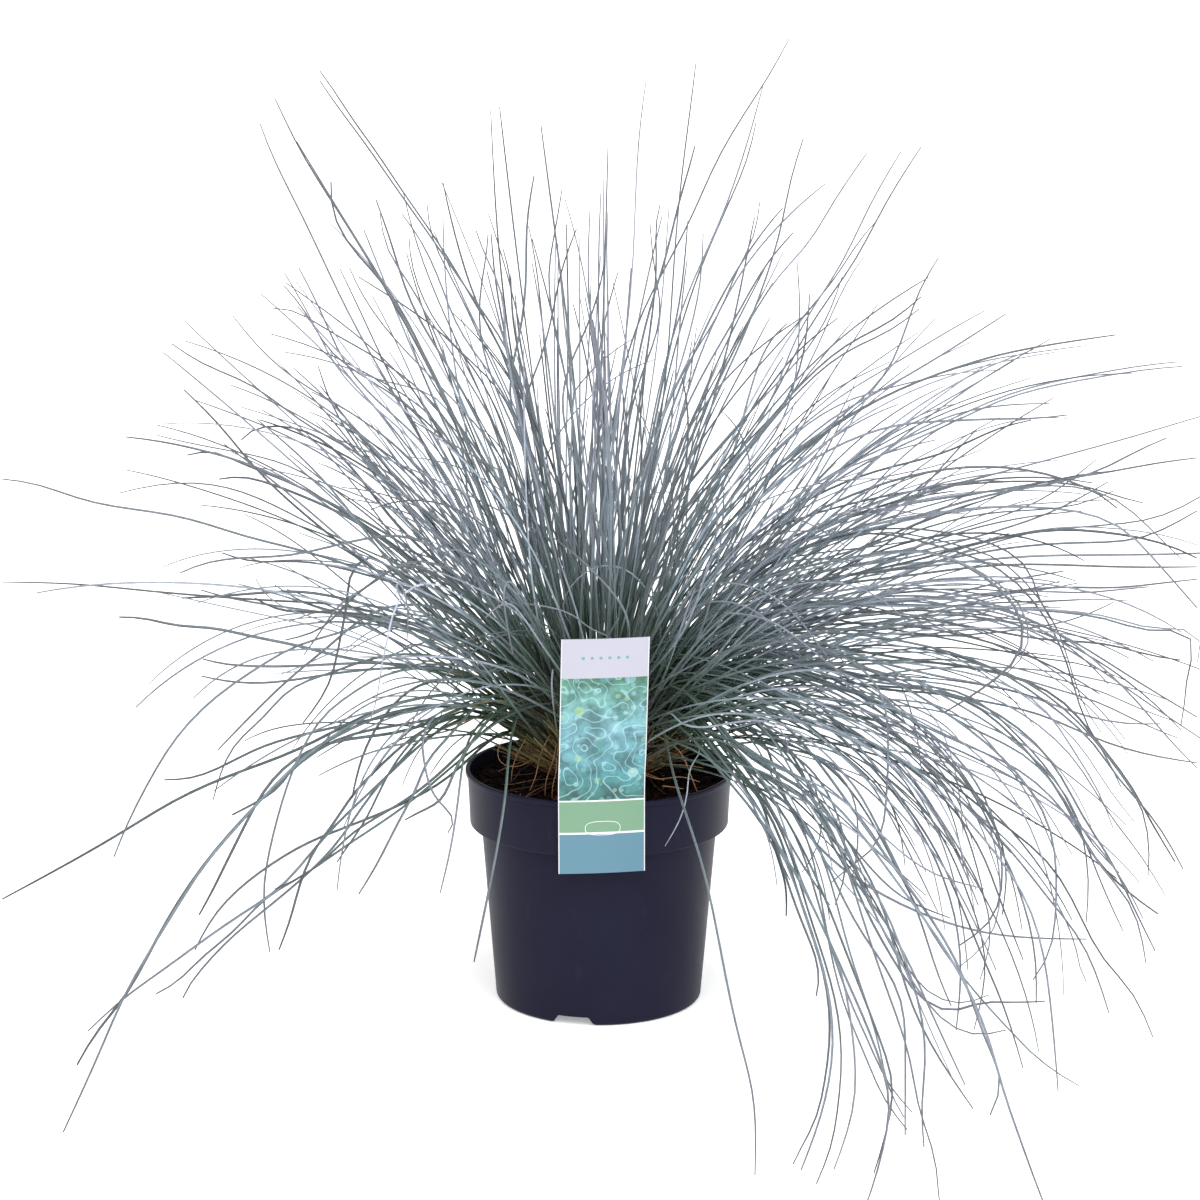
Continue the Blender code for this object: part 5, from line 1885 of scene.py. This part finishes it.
def add_cut(back_material):
    """The oval cut in the card's lower strip."""
    bm = bmesh.new()
    rings = []
    for size, lift in ((0.0, CUT_LOW), (0.0, CUT_HIGH), (1.0, CUT_HIGH), (1.0, CUT_LOW)):
        wide = CUT_HALF_WIDTH + size * CUT_LINE
        high = CUT_HALF_HEIGHT + size * CUT_LINE
        ring = []
        for turn in range(CUT_TURNS):
            angle = math.tau * turn / CUT_TURNS
            flat, tall = (
                abs(value) ** CUT_SQUARENESS * math.copysign(1.0, value)
                for value in (math.cos(angle), math.sin(angle))
            )
            point = label_point(wide * flat + CUT_SHIFT, CUT_PLACE + high * tall, -lift)
            ring.append(bm.verts.new(point))
        rings.append(ring)
    for ring, after in zip(rings, rings[1:] + rings[:1]):
        bridge(bm, ring, after)
    cut = label_piece(bm, "label_cut")
    finish_piece(cut, back_material, "label", smooth=LABEL_SMOOTH)


def add_label():
    """The card, its hook and the oval cut in it."""
    back_material = label_back_material()
    add_card(back_material)
    add_hook(back_material)
    add_cut(back_material)


# Stage

ROOM_LIGHT = 0.66
FLOOR_GLOW = 0.34
FLOOR_SIDE = 20.0
WHITE = (1.0, 1.0, 1.0, 1.0)
# Each sun: where it stands, how strong it is and how wide it looks
SUNS = {
    "key": ((0.16, -0.58, 1.0), 2.75, 75.0),
    "fill": ((0.55, -0.70, 0.7), 1.0, 90.0),
}


def add_stage():
    """A pale floor, soft studio light and the photograph's camera."""
    material, _, _ = new_material(
        "floor",
        Roughness=0.9,
        Base_Color=(0.95, 0.95, 0.95, 1.0),
        Emission_Color=WHITE,
        Emission_Strength=FLOOR_GLOW,
    )
    bm = bmesh.new()
    bmesh.ops.create_grid(bm, x_segments=1, y_segments=1, size=FLOOR_SIDE)
    mesh = bpy.data.meshes.new("floor")
    bm.to_mesh(mesh)
    bm.free()
    mesh.materials.append(material)
    floor = placed("floor", mesh)

    world = bpy.data.worlds.new("studio")
    world.use_nodes = True
    tree = world.node_tree
    seen = wire(tree, "LightPath").outputs["Is Camera Ray"]
    strength = math_node(tree, "MULTIPLY_ADD", seen, 1.0 - ROOM_LIGHT, ROOM_LIGHT)
    light = tree.nodes["Background"]
    light.inputs["Color"].default_value = WHITE
    tree.links.new(strength, light.inputs["Strength"])
    bpy.context.scene.world = world

    for name, (way, strength, spread) in SUNS.items():
        sun = bpy.data.lights.new(name, "SUN")
        sun.energy = strength
        sun.angle = math.radians(spread)
        lamp = placed(name, sun)
        lamp.rotation_euler = Vector(way).to_track_quat("Z", "Y").to_euler()

    camera = bpy.data.cameras.new("camera")
    camera.lens = CAMERA_LENS
    camera.sensor_width = CAMERA_SENSOR
    viewer = placed("camera", camera)
    viewer.matrix_world = camera_matrix()
    bpy.context.scene.camera = viewer
    bpy.context.scene.view_settings.view_transform = "Standard"


add_stage()
add_pot()
peat = soil_material()
add_soil(peat)
add_crumbs(peat)
fibre = fibre_material()
add_fibres(fibre)
add_crown()
add_strands(fibre)
add_label()
add_leaves()
